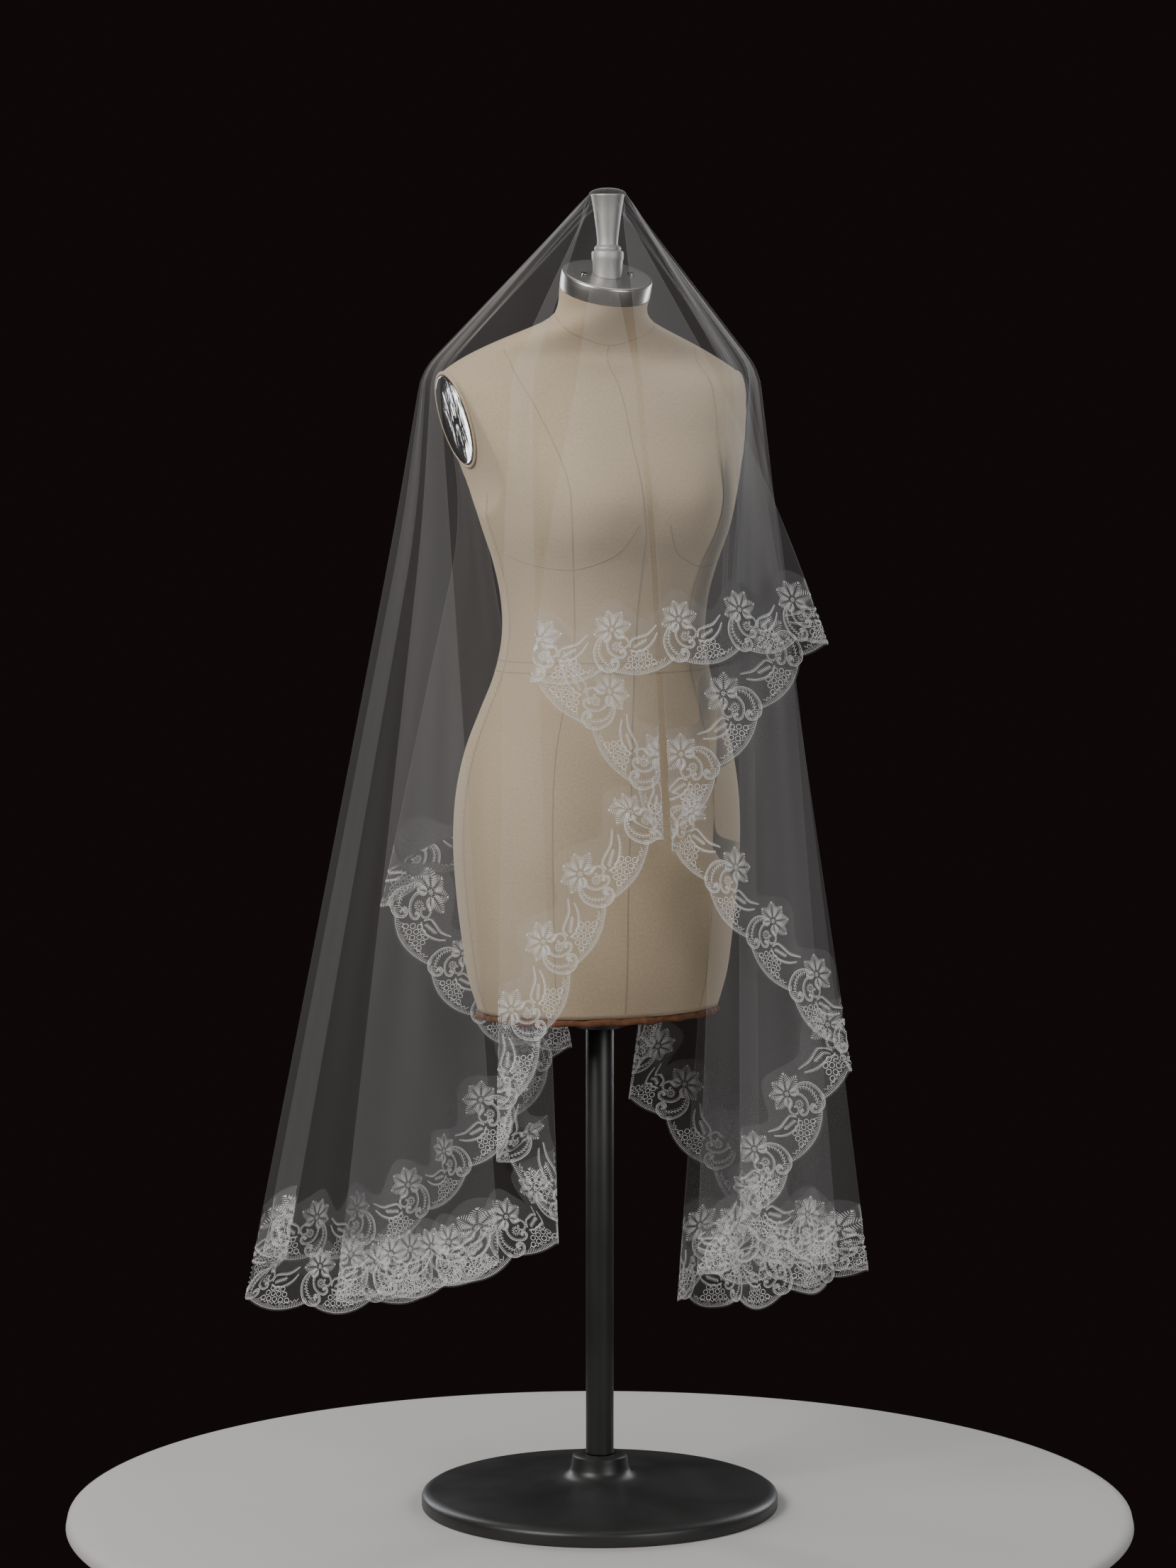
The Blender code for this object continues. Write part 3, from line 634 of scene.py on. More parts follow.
def linen_cloth(name, colour, shade):
    """Make undyed linen: a woven bump, and a tone that shifts with the threads, in small
    flecks and in broad faint patches."""
    material, tree, links, shader = new_material(name)
    effect = use_effect(material, weave_effect(), "UV")
    flat = coordinates(tree, "UV")
    broad = spread(tree, streaks(tree, flat, 7.0), 0.0, 0.35)
    fleck = spread(tree, streaks(tree, flat, 330.0, detail=1.0), -0.25, 0.65)
    tone = combine(tree, "ADD", combine(tree, "MULTIPLY", effect.outputs["Tone"], 0.35),
                   combine(tree, "ADD", broad, fleck))
    links.new(blend_colours(tree, tone, shade, colour), shader.inputs["Base Color"])
    shader.inputs["Roughness"].default_value = 0.86
    shader.inputs["Sheen Weight"].default_value = 0.12
    shader.inputs["Specular IOR Level"].default_value = 0.25
    raise_bump(material, effect.outputs["Height"], 0.35, 0.0003)
    return material


def brushed_metal(name, colour, group, satin):
    """Make brushed metal, with fine lines round it in its gloss and its bump. Satin is what
    the lines' roughness is raised by."""
    material, tree, links, shader = new_material(name)
    effect = use_effect(material, group, "UV")
    links.new(blend_colours(tree, effect.outputs["Height"], scaled(colour, 0.82), colour),
              shader.inputs["Base Color"])
    links.new(combine(tree, "ADD", effect.outputs["Gloss"], satin), shader.inputs["Roughness"])
    shader.inputs["Metallic"].default_value = 1.0
    raise_bump(material, effect.outputs["Height"], 0.03, 0.0001)
    return material


def mottled(name, first, second, scale, roughness, bump=None, stretch=(1.0, 1.0, 1.0),
            detail=3.0):
    """Make a surface whose colour goes from first to second by a noise. Its roughness is one
    value, or runs from low to high by the same noise, which may also give a bump of the given
    strength and distance."""
    material, tree, links, shader = new_material(name)
    noise = streaks(tree, coordinates(tree, "Object"), scale, stretch, detail)
    links.new(blend_colours(tree, noise, first, second), shader.inputs["Base Color"])
    if isinstance(roughness, float):
        shader.inputs["Roughness"].default_value = roughness
    else:
        links.new(spread(tree, noise, *roughness), shader.inputs["Roughness"])
    if bump:
        raise_bump(material, noise, *bump)
    return material


def polished_metal_painted_reflection(name, colour):
    """Make polished metal with faint broad ripples and wipe marks in its bump and gloss, and the
    same broad streaks as painted reflection, lighter and darker, in its colour.
    """
    material = mottled(name, scaled(colour, 0.55), colour, 38.0, (0.04, 0.16), (0.30, 0.002),
                       (2.6, 2.6, 0.6))
    material.node_tree.nodes["Principled BSDF"].inputs["Metallic"].default_value = 1.0
    return material


def black_enamel(name, colour):
    """Make satin black paint with a faint orange-peel bump and dust in its gloss."""
    material = mottled(name, colour, scaled(colour, 1.9), 14.0, (0.34, 0.52))
    tree = material.node_tree
    raise_bump(material, streaks(tree, coordinates(tree, "Object"), 240.0), 0.10, 0.0004)
    return material


def pulp_board(name, dark, light):
    """Make the brown pulp board: torn fibres in its tone and its bump."""
    return mottled(name, dark, light, 90.0, 0.92, (0.6, 0.0012), (1.0, 1.0, 3.0), 6.0)


def seam_thread_painted_shade(name, dark, light):
    """Make the seams' sewn edge: linen made darker by painted shade, standing for the shade in the
    seam's dip, with stitch marks along it.
    """
    return mottled(name, dark, light, 300.0, 0.88, (0.3, 0.0003))


def studio_floor_paint(name, colour):
    """Make the floor's matt paint, with a faint cloudiness."""
    return mottled(name, scaled(colour, 0.94), colour, 3.0, 0.75)


def silk_thread(name, colour, shade):
    """Make the embroidery's thread: a soft sheen, and a twist drawn slantwise over each stitch by
    its UV, as a bump and as bands of painted shade in its colour."""
    material, tree, links, shader = new_material(name)
    wave = tree.nodes.new("ShaderNodeTexWave")
    wave.bands_direction = "DIAGONAL"
    wave.inputs["Scale"].default_value = 2.6
    wave.inputs["Distortion"].default_value = 0.4
    links.new(coordinates(tree, "UV"), wave.inputs["Vector"])
    # The twist's grooves are painted shade: the colour runs from the shade to the thread's colour
    # by the twist's bands.
    links.new(blend_colours(tree, wave.outputs["Fac"], shade, colour), shader.inputs["Base Color"])
    shader.inputs["Roughness"].default_value = 0.42
    shader.inputs["Sheen Weight"].default_value = 0.35
    shader.inputs["Sheen Roughness"].default_value = 0.35
    raise_bump(material, wave.outputs["Fac"], 0.25, 0.0002)
    return material


# The veil


ROWS_TO_SHOULDER = 26
ROWS_TO_BUST = 14
ROWS_TO_CUT = 48
DOME_RINGS = (0.02, 0.25, 0.5, 0.75, 0.92)
LACE_STEP = 0.004
LACE_ROWS = 13


def veil_rows():
    """List the heights of the tulle's rows for every line, from the rim to the cut edge."""
    slope = np.interp(HEM["line_length"][:-1], HEM["even"], HEM["slope"])
    cut = VALUES["hem_height"] + CUT_EDGE / np.cos(slope)
    count = len(cut)
    upper = [np.full(count, mix(RIM_Z, SHOULDER_Z, (step / ROWS_TO_SHOULDER) ** 1.15))
             for step in range(ROWS_TO_SHOULDER)]
    middle = [np.full(count, mix(SHOULDER_Z, BUST_Z, step / ROWS_TO_BUST))
              for step in range(ROWS_TO_BUST)]
    lower = [mix(np.full(count, BUST_Z), cut, step / ROWS_TO_CUT)
             for step in range(ROWS_TO_CUT + 1)]
    return np.array(upper + middle + lower)


def make_tulle(material):
    """Make the tulle: a low dome over the finial, then the draped lines down to the cut edge."""
    rows = veil_rows()
    grid = line_places({name: value[None, :] for name, value in VALUES.items()}, rows)
    rim = grid[0]
    dome = []
    for share in DOME_RINGS:
        ring = rim * share
        ring[:, 2] = RIM_Z + (DOME_TOP - RIM_Z) * math.sqrt(1.0 - share ** 2.2)
        dome.append(ring)
    grid = to_form(np.concatenate([np.array(dome), grid]))
    count = grid.shape[1]
    points = np.concatenate([grid.reshape(-1, 3), [[0.0, FINIAL_Y, DOME_TOP]]])
    faces = grid_faces(grid.shape[0], count, closed=True)[:, ::-1]
    return add_surface("veil_tulle", points, faces, material)


def make_lace_ground(material):
    """Make the edging's net: from the scalloped edge in to the wavy inner edge."""
    columns = int(HEM["length"] / LACE_STEP)
    along = HEM["length"] * np.arange(columns) / columns
    share = np.linspace(0.0, 1.0, LACE_ROWS)[:, None]
    inward = mix(scallop_inset(along)[None, :], inner_edge(along)[None, :], share)
    along = np.broadcast_to(along, inward.shape)
    grid = place_on_band(along, inward, np.full(inward.shape, LACE_LIFT))
    return add_surface("lace_ground", grid, grid_faces(*inward.shape, closed=True), material)


# The embroidery, drawn on the flat band in millimetres: along the hem, then inward from it

# Widths of the threads, and sizes of the small stitches
THREAD = 0.60
FINE_THREAD = 0.55
SPOKE_THREAD = 0.70
RING_THREAD = 0.85
CURL_THREAD = 0.90
EDGE_THREAD = 0.50
LOOP_THREAD = 0.45
LEAF_STITCHES = 9
LEAF_GAP = 2.6
RING_RADIUS = 2.9
EDGE_PITCH = 1.9
ZIGZAG_PITCH = 2.4
CURVE_STEPS = 24

FLOWER = np.array([12.0, 55.0])
EYELET = FLOWER + (3.5, -19.0)
# Angle, length and width of the flower's leaves
FLOWER_LEAVES = (
    (97.0, 17.0, 12.0), (141.0, 18.0, 12.5), (186.0, 17.5, 12.0), (52.0, 18.0, 12.0),
    (8.0, 19.0, 12.0), (-38.0, 13.0, 9.0), (232.0, 11.0, 8.0),
)
OUTER_ARC = ((4, 51), (-5, 46), (-10.5, 37), (-11, 27), (-7, 16), (1, 9.8), (10, 9.8), (16, 15),
             (15, 21.5), (9, 23), (7, 19))
INNER_ARC = ((7, 47), (4, 40), (6, 31), (12, 25), (20, 22.5), (25.5, 26), (24, 31.5), (18.5, 30.5))
INNER_CURL = ((19, 45), (26, 44), (29, 38), (25, 34), (20.5, 36.5), (22, 40))
TWIG = ((0, 47), (-4, 40), (-5, 31), (-1, 22), (3, 18))
UPPER_HORN = ((31, 33), (34, 40), (43, 42), (54, 44), (65, 52))
LOWER_HORN = ((31, 30), (39, 27.5), (49, 30), (58, 36), (65, 44.5))
HORN_LEAF = ((35, 32.5), (43, 35.5), (51, 38.5))
RING_ROWS = ((13.5, (26.0, 33.5, 41.0, 48.5, 56.0)), (20.0, (29.75, 37.25, 44.75, 52.25)),
             (26.0, (34.5, 41.5, 48.5)))


def smooth_path(corners, step):
    """Run a Catmull-Rom curve through the corners and read it at even steps of its length."""
    corners = np.asarray(corners, dtype=float)
    ends = np.concatenate([[2 * corners[0] - corners[1]], corners,
                           [2 * corners[-1] - corners[-2]]])
    share = np.linspace(0.0, 1.0, CURVE_STEPS, endpoint=False)[None, :, None]
    before, first, second, after = (ends[i:len(ends) - 3 + i, None, :] for i in range(4))
    curve = 0.5 * (2 * first + (second - before) * share
                   + (2 * before - 5 * first + 4 * second - after) * share ** 2
                   + (3 * first - before - 3 * second + after) * share ** 3)
    curve = np.concatenate([curve.reshape(-1, 2), corners[-1:]])
    length = np.concatenate(([0.0], np.cumsum(np.linalg.norm(np.diff(curve, axis=0), axis=1))))
    even = np.arange(0.0, length[-1], step)
    return np.stack([np.interp(even, length, curve[:, 0]),
                     np.interp(even, length, curve[:, 1])], axis=-1)


def left_of(path):
    """Give the unit tangents of a path, and the unit normals to their left."""
    tangent = np.gradient(path, axis=0)
    tangent /= np.linalg.norm(tangent, axis=1, keepdims=True)
    return tangent, np.stack([-tangent[:, 1], tangent[:, 0]], axis=-1)


def comb(corners, pitch, right, left, slant, width=THREAD, taper=False):
    """Stitch across a path: each stitch runs from right of it to left of it, leaning forward."""
    path = smooth_path(corners, pitch)
    tangent, normal = left_of(path)
    size = np.ones(len(path))
    if taper:
        size = 0.35 + 0.65 * np.sin(math.pi * np.linspace(0.06, 0.94, len(path))) ** 0.6
    size = size[:, None]
    start = path - normal * right * size
    end = path + normal * left * size + tangent * slant
    return start, end, np.full(len(path), width)


def running(corners, pitch, width=THREAD):
    """Stitch along a path, each stitch a little longer than its step."""
    path = smooth_path(corners, pitch)
    tangent = left_of(path)[0]
    return path - tangent * 0.12 * pitch, path + tangent * 1.12 * pitch, np.full(len(path), width)


def leaf(root, angle, length, width):
    """Stitch a feathered leaf. Its half width is a sine of the way along its rib, both sides
    are combs that lean to the tip, and three stitches fan out of the tip."""
    angle = math.radians(angle)
    rib = np.array([math.cos(angle), math.sin(angle)])
    side = np.array([-rib[1], rib[0]])
    share = np.linspace(0.12, 0.97, LEAF_STITCHES)[:, None]
    half = 0.5 * width * np.sin(math.pi * share ** 0.8) ** 0.75 + 0.5
    at_rib = root + rib * length * share
    rows = [(at_rib + side * turn * half * 0.10, at_rib + side * turn * half * 1.12 + rib * 2.6,
             np.full(LEAF_STITCHES, THREAD)) for turn in (1.0, -1.0)]
    tip = root + rib * length
    fan = np.radians(np.array([-38.0, 0.0, 38.0])) + angle
    fan = np.stack([np.cos(fan), np.sin(fan)], axis=-1)
    rows.append((tip - fan * 0.6, tip + fan * 2.4, np.full(3, THREAD)))
    return rows


def rosette(centre, inner, outer, count, turn=0.0, sweep=360.0):
    """Stitch a fan or a ring of stitches that all point away from one centre."""
    angle = np.radians(turn + sweep * np.arange(count) / count)
    spoke = np.stack([np.cos(angle), np.sin(angle)], axis=-1)
    centre = np.asarray(centre, dtype=float)
    return centre + spoke * inner, centre + spoke * outer, np.full(count, SPOKE_THREAD)


def small_ring(centre, radius, sides=8):
    """Stitch a small open ring from short straight stitches."""
    angle = 2.0 * math.pi * np.arange(sides) / sides + 0.3
    spoke = np.stack([np.cos(angle), np.sin(angle)], axis=-1) * radius
    centre = np.asarray(centre, dtype=float)
    return centre + spoke, centre + np.roll(spoke, -1, axis=0), np.full(sides, RING_THREAD)


def motif_stitches():
    """Collect one repeat's stitches as start points, end points and widths."""
    rows = []
    for angle, length, width in FLOWER_LEAVES:
        rib = np.array([math.cos(math.radians(angle)), math.sin(math.radians(angle))])
        rows += leaf(FLOWER + rib * LEAF_GAP, angle, length, width)
    rows.append(rosette(FLOWER, 0.6, 3.2, 7, 20.0))
    rows.append(rosette(EYELET, 2.4, 5.6, 13, 10.0))
    rows.append(rosette(EYELET, 0.3, 1.3, 4))
    rows.append(comb(OUTER_ARC, 1.8, 0.5, 3.0, 0.3))
    rows.append(running(OUTER_ARC, 2.4))
    rows.append(comb(INNER_ARC, 1.8, 0.4, 2.7, 0.3))
    rows.append(running(INNER_ARC, 2.4))
    rows.append(comb(INNER_CURL, 1.6, 0.5, 2.4, 0.3, CURL_THREAD))
    rows.append(rosette((10.0, 18.0), 0.8, 3.0, 8, 20.0, 300.0))
    rows.append(rosette((20.5, 29.5), 0.6, 2.4, 6, 40.0, 300.0))
    rows.append(running(TWIG, 2.0))
    rows.append(comb(TWIG, 3.6, 0.0, 2.6, 2.2, FINE_THREAD))
    rows.append(comb(TWIG[1:], 3.6, 2.6, 0.0, 2.0, FINE_THREAD))
    rows.append(comb(UPPER_HORN, 1.6, 1.0, 2.6, 0.9, taper=True))
    rows.append(running(UPPER_HORN, 2.4, FINE_THREAD))
    rows.append(comb(LOWER_HORN, 1.6, 2.5, 1.0, 0.9, taper=True))
    rows.append(running(LOWER_HORN, 2.4, FINE_THREAD))
    rows.append(running(HORN_LEAF, 2.0))
    rows.append(comb(HORN_LEAF, 1.9, 2.4, 2.4, 1.8))
    for inward, alongs in RING_ROWS:
        for along in alongs:
            rows.append(small_ring((along, inward), RING_RADIUS))
    rows += hem_stitches()
    return tuple(np.concatenate([row[place] for row in rows]) for place in range(3))


def hem_stitches():
    """Stitch the scallop: a dense blanket stitch along the edge and a loose zigzag above it."""
    pitch = 1000.0 * HEM["length"] / REPEATS
    along = np.arange(1.0, pitch - 0.5, EDGE_PITCH)
    edge = 1000.0 * scallop_inset(along / 1000.0)
    path = np.stack([along, edge + 2.6], axis=-1)
    normal = left_of(path)[1]
    long_ones = 5.4 + 1.0 * np.sin(along * 2.9)
    rows = [(path - normal * 1.1, path + normal * (long_ones[:, None] - 1.1),
             np.full(len(path), EDGE_THREAD))]
    loops = path[2::2]
    rows.append((path[:-2:2] - normal[:-2:2] * 0.2, loops, np.full(len(loops), LOOP_THREAD)))
    high = np.arange(20.0, pitch - 10.0, ZIGZAG_PITCH)
    base = 1000.0 * scallop_inset(high / 1000.0) + 7.6
    rise = np.where(np.arange(len(high)) % 2 == 0, 0.0, 3.2)
    points = np.stack([high, base + rise], axis=-1)
    rows.append((points[:-1], points[1:], np.full(len(points) - 1, THREAD)))
    return rows


def make_embroidery(name, first, last, material):
    """Raise the stitches of the repeats from first to last off the net.

    Each stitch is a low ridge: three points across, at its start, middle and end. Its ends are
    narrower, and its middle stands highest. The flat points are laid on the drape at once.
    """
    start, end, width = (value / 1000.0 for value in motif_stitches())
    pitch = HEM["length"] / REPEATS
    axis = end - start
    side = np.stack([-axis[:, 1], axis[:, 0]], axis=-1)
    side /= np.maximum(np.linalg.norm(side, axis=1, keepdims=True), 1e-9)
    share = np.array([0.0, 0.5, 1.0])[None, :, None, None]
    across = np.array([-0.5, 0.0, 0.5])[None, None, :, None]
    narrow = np.array([0.55, 1.0, 0.55])[None, :, None, None]
    flat = (start[:, None, None, :] + axis[:, None, None, :] * share
            + side[:, None, None, :] * across * narrow * width[:, None, None, None])
    lift = np.array([0.25, 1.0, 0.25])[:, None] * np.array([0.0, 1.0, 0.0])[None, :]
    lift = LACE_LIFT + 0.0001 + THREAD_HEIGHT * lift
    repeats = np.arange(first, last)
    along = ((repeats + 1) * pitch)[:, None, None, None] - flat[None, ..., 0]
    inward = np.broadcast_to(flat[None, ..., 1], along.shape)
    points = place_on_band(along, inward, np.broadcast_to(lift, along.shape))
    count = len(repeats) * len(start)
    one = grid_faces(3, 3)
    faces = (np.arange(count)[:, None, None] * 9 + one[None]).reshape(-1, 4)[:, ::-1]
    uv = np.stack(np.broadcast_arrays(share[..., 0], across[..., 0] + 0.5), axis=-1)
    uv = np.broadcast_to(uv, (count, 3, 3, 2))
    return add_surface(name, points, faces, material, uv)


# The form: its sections, cover, seams and metal fittings

# Height, half width at the sides, reach of the front and the back, and the widest place along Y
FORM_SECTIONS = np.array((
    (0.578, 0.143, -0.098, 0.108, 0.002), (0.610, 0.153, -0.105, 0.120, 0.003),
    (0.660, 0.161, -0.110, 0.128, 0.004), (0.720, 0.168, -0.112, 0.132, 0.005),
    (0.780, 0.171, -0.113, 0.132, 0.005), (0.840, 0.166, -0.112, 0.126, 0.004),
    (0.880, 0.157, -0.109, 0.114, 0.002), (0.920, 0.143, -0.105, 0.098, -0.002),
    (0.960, 0.128, -0.102, 0.085, -0.006), (1.005, 0.120, -0.101, 0.077, -0.010),
    (1.045, 0.122, -0.105, 0.077, -0.012), (1.085, 0.131, -0.118, 0.083, -0.014),
    (1.125, 0.144, -0.138, 0.091, -0.012), (1.160, 0.154, -0.146, 0.098, -0.004),
    (1.195, 0.168, -0.136, 0.104, 0.008), (1.230, 0.184, -0.112, 0.107, 0.017),
    (1.265, 0.192, -0.085, 0.105, 0.022), (1.290, 0.192, -0.058, 0.096, 0.024),
    (1.305, 0.175, -0.034, 0.081, 0.024), (1.316, 0.157, -0.022, 0.072, 0.024),
    (1.330, 0.128, -0.024, 0.068, 0.020), (1.346, 0.089, -0.035, 0.060, 0.012),
    (1.356, 0.065, -0.044, 0.054, 0.005), (1.364, 0.054, -0.052, 0.049, -0.001),
    (1.378, 0.052, -0.062, 0.040, -0.011),
))
FORM_FOOT = 0.578
FORM_NECK = 1.366
BUST_HEIGHT = 1.150
BUST_SPREAD = 0.078
BUST_SWELL = 0.012
BUST_SIZE = 0.052
ARM_PLATE_CENTRE = (0.166, 0.024, 1.247)
ARM_PLATE_SLOPE = 0.307
ARM_FLAT_FROM_Z = 1.192
ARM_FLAT_LEAVES = 6.0
NECK_TILT = math.radians(20.0)
CAP_CENTRE = np.array([0.0, -0.019, 1.409])
CAP_RADIUS = 0.0515
CAP_HEIGHT = 0.020
SCREW_ACROSS = 0.029
ARM_PLATE_LONG = 0.052
ARM_PLATE_WIDE = 0.038
PIPING_GAP = 0.0025
PIPING_RADIUS = 0.0022
BOARD_THICKNESS = 0.008
SEAT_GAP = 0.0003
FORM_COLUMNS = 181
FORM_ROWS = 150
NECK_RINGS = 10
# The form's mean radius, which turns an angle into a way round
FORM_RADIUS = 0.15


def section_values(height):
    """Read the sections at any height, by a cubic with the slopes of the neighbours' chords."""
    levels = FORM_SECTIONS[:, 0]
    table = FORM_SECTIONS[:, 1:]
    slope = np.gradient(table, levels, axis=0)
    height = np.clip(height, levels[0], levels[-1])
    low = np.clip(np.searchsorted(levels, height, side="right") - 1, 0, len(levels) - 2)
    gap = levels[low + 1] - levels[low]
    share = ((height - levels[low]) / gap)[..., None]
    gap = gap[..., None]
    return ((2 * share ** 3 - 3 * share ** 2 + 1) * table[low]
            + (share ** 3 - 2 * share ** 2 + share) * gap * slope[low]
            + (3 * share ** 2 - 2 * share ** 3) * table[low + 1]
            + (share ** 3 - share ** 2) * gap * slope[low + 1])


def place_on_form(angle, height, lift=0.0):
    """Place points on the form by the angle about its axis and the height.

    Each level section is two half ellipses, for the front and the back. The bust is a bell of
    height and distance added to the front, and flats cut the arm ends off.
    """
    angle, height = np.broadcast_arrays(angle, height)
    half, front, back, middle = np.moveaxis(section_values(height), -1, 0)
    reach = np.where(np.sin(angle) < 0.0, middle - front, back - middle)
    x = (half + lift) * np.cos(angle)
    y = middle + (reach + lift) * np.sin(angle)
    across = (np.abs(x) - BUST_SPREAD) / BUST_SIZE
    upward = (height - BUST_HEIGHT) / BUST_SIZE
    facing = np.clip((middle - y) / reach, 0.0, 1.0)
    y = y - BUST_SWELL * facing * np.exp(-across * across - upward * upward)
    flat = ARM_PLATE_CENTRE[0] + ARM_PLATE_SLOPE * (height - ARM_PLATE_CENTRE[2])
    below = np.maximum(ARM_FLAT_FROM_Z - height, 0.0)
    limit = flat + lift + ARM_FLAT_LEAVES * below ** 2
    return np.stack([np.clip(x, -limit, limit), y, height + 0.0 * x], axis=-1)


def tilted(points, drop=0.0):
    """Move points of the neck's own frame to the tilted neck, drop below the cap's top."""
    cosine, sine = math.cos(NECK_TILT), math.sin(NECK_TILT)
    z = points[..., 2] - drop
    y = points[..., 1] * cosine - z * sine
    z = points[..., 1] * sine + z * cosine
    return np.stack([points[..., 0], y, z], axis=-1) + CAP_CENTRE


def make_form_cover(material):
    """Make the linen cover: level sections up to the neck, then rings that turn little by
    little into the tilted end under the cap. The UV is in metres, round and up."""
    angle = 2.0 * math.pi * np.linspace(0.0, 1.0, FORM_COLUMNS)
    height = np.linspace(FORM_FOOT, FORM_NECK, FORM_ROWS)[:, None]
    body = place_on_form(angle[None, :], height)
    ring = np.stack([(CAP_RADIUS - 0.0004) * np.cos(angle), (CAP_RADIUS - 0.0004) * np.sin(angle),
                     np.zeros(len(angle))], axis=-1)
    end = tilted(ring, CAP_HEIGHT + SEAT_GAP)
    share = np.linspace(0.0, 1.0, NECK_RINGS)[1:, None, None]
    rise = (body[-1] - body[-2])[None] * 9.0 * share * (1.0 - share) ** 2
    neck = mix(body[-1][None], end[None], smooth_step(share) * 0.35 + share * 0.65) + rise * 0.3
    tuck = place_on_form(angle, np.full(len(angle), FORM_FOOT), -0.004)
    tuck[:, 2] = FORM_FOOT - 0.0001
    grid = np.concatenate([tuck[None], body, neck])
    run = np.concatenate(([0.0], np.cumsum(np.linalg.norm(np.diff(grid[:, 45], axis=0), axis=1))))
    uv = np.stack(np.broadcast_arrays(angle[None, :] * FORM_RADIUS, run[:, None]), axis=-1)
    return add_surface("form_cover", grid, grid_faces(*grid.shape[:2]), material, uv)


def level_corners(height):
    """List the corners of a level line once round the form."""
    return tuple((angle, height) for angle in (-176,) + tuple(range(-150, 151, 30)) + (184,))


# Seams by corners of angle in degrees and height. The last value says if the other side has
# the same seam.
FORM_SEAMS = (
    (((-90, 1.330), (-92, 1.290), (-94, 1.245), (-96, 1.200), (-96, 1.155), (-93, 1.115),
      (-91, 1.050), (-94, 0.900), (-96, 0.718), (-96, 0.580)), False),
    (((90, 1.360), (90, 1.20), (90, 1.00), (90, 0.80), (90, 0.580)), False),
    (((-150, 1.326), (-140, 1.318), (-133, 1.308), (-127, 1.286), (-125, 1.256), (-124, 1.224),
      (-126, 1.180), (-128, 1.150), (-128, 1.110), (-127, 1.083), (-126, 1.000), (-127, 0.900),
      (-126, 0.767), (-127, 0.654), (-128, 0.580)), True),
    (((138, 1.330), (130, 1.25), (122, 1.10), (120, 1.00), (124, 0.85), (122, 0.580)), True),
    (((-176, 1.168), (-177, 1.08), (-176, 1.00), (-176, 0.80), (-176, 0.580)), True),
    (((-167, 1.097), (-153, 1.089), (-139, 1.084), (-127, 1.083), (-116, 1.089),
      (-106, 1.100), (-101, 1.115), (-97, 1.135)), True),
    (level_corners(0.966), False),
    (level_corners(0.978), False),
    (((-170, 1.361), (-135, 1.350), (-108, 1.338), (-90, 1.330), (-72, 1.338), (-45, 1.350),
      (-10, 1.361), (30, 1.364), (90, 1.364), (150, 1.364), (190, 1.361)), False),
)


SIDE_SEAM = 4
STITCH_REACH = 0.0024


def ribbon(points, normal, width, height):
    """Run low ridges of five points across along paths on a surface. The paths' points are
    along the first axis, and the points across come in before the last."""
    tangent = np.gradient(points, axis=0)
    tangent /= np.linalg.norm(tangent, axis=-1, keepdims=True)
    side = np.cross(normal, tangent)
    side /= np.linalg.norm(side, axis=-1, keepdims=True)
    across = np.array([-0.5, -0.25, 0.0, 0.25, 0.5])[:, None] * width
    lift = np.array([0.1, 1.0, 0.35, 1.0, 0.1])[:, None] * height
    return points[..., None, :] + side[..., None, :] * across + normal[..., None, :] * lift


def form_path(corners, mirrored=False):
    """Read a smooth path on the form from corners of angle and height, with its normals."""
    corners = np.array(corners, dtype=float)
    corners[:, 0] = np.radians(-180.0 - corners[:, 0] if mirrored else corners[:, 0])
    path = smooth_path(corners * (FORM_RADIUS, 1.0), 0.003) / (FORM_RADIUS, 1.0)
    here = place_on_form(path[:, 0], path[:, 1], 0.0001)
    normal = np.cross(place_on_form(path[:, 0] + 0.01, path[:, 1]) - here,
                      place_on_form(path[:, 0], path[:, 1] + 0.002) - here)
    normal /= np.linalg.norm(normal, axis=1, keepdims=True)
    return here, normal


def join_grids(grids):
    """List the points and the faces of several open grids as one mesh."""
    points, faces, count = [], [], 0
    for grid in grids:
        faces.append(grid_faces(*grid.shape[:2]) + count)
        points.append(grid.reshape(-1, 3))
        count += len(points[-1])
    return np.concatenate(points), np.concatenate(faces)


def make_form_seams(material):
    """Make the form's seams as two low ridges with a dip between them."""
    grids = []
    for corners, both in FORM_SEAMS:
        for mirrored in ((False, True) if both else (False,)):
            here, normal = form_path(corners, mirrored)
            grids.append(ribbon(here, normal, 0.0016, 0.00030))
    points, faces = join_grids(grids)
    return add_surface("form_seams", points, faces, material)


def make_side_stitches(material):
    """Make the whip stitches over both side seams, as short low ridges at a slant: each runs
    across its seam from one lean back to one lean on."""
    grids = []
    for mirrored in (False, True):
        here, normal = form_path(FORM_SEAMS[SIDE_SEAM][0], mirrored)
        place = np.arange(2, len(here) - 2, 2)
        lean = (here[place + 1] - here[place - 1]) * 0.25
        side = np.cross(normal[place], lean)
        side /= np.linalg.norm(side, axis=1, keepdims=True)
        reach = side * STITCH_REACH + lean
        path = np.stack([here[place] - reach, here[place], here[place] + reach])
        grids += list(np.moveaxis(ribbon(path, normal[place][None], 0.0009, 0.0007), 1, 0))
    points, faces = join_grids(grids)
    return add_surface("form_side_stitches", points, faces, material)


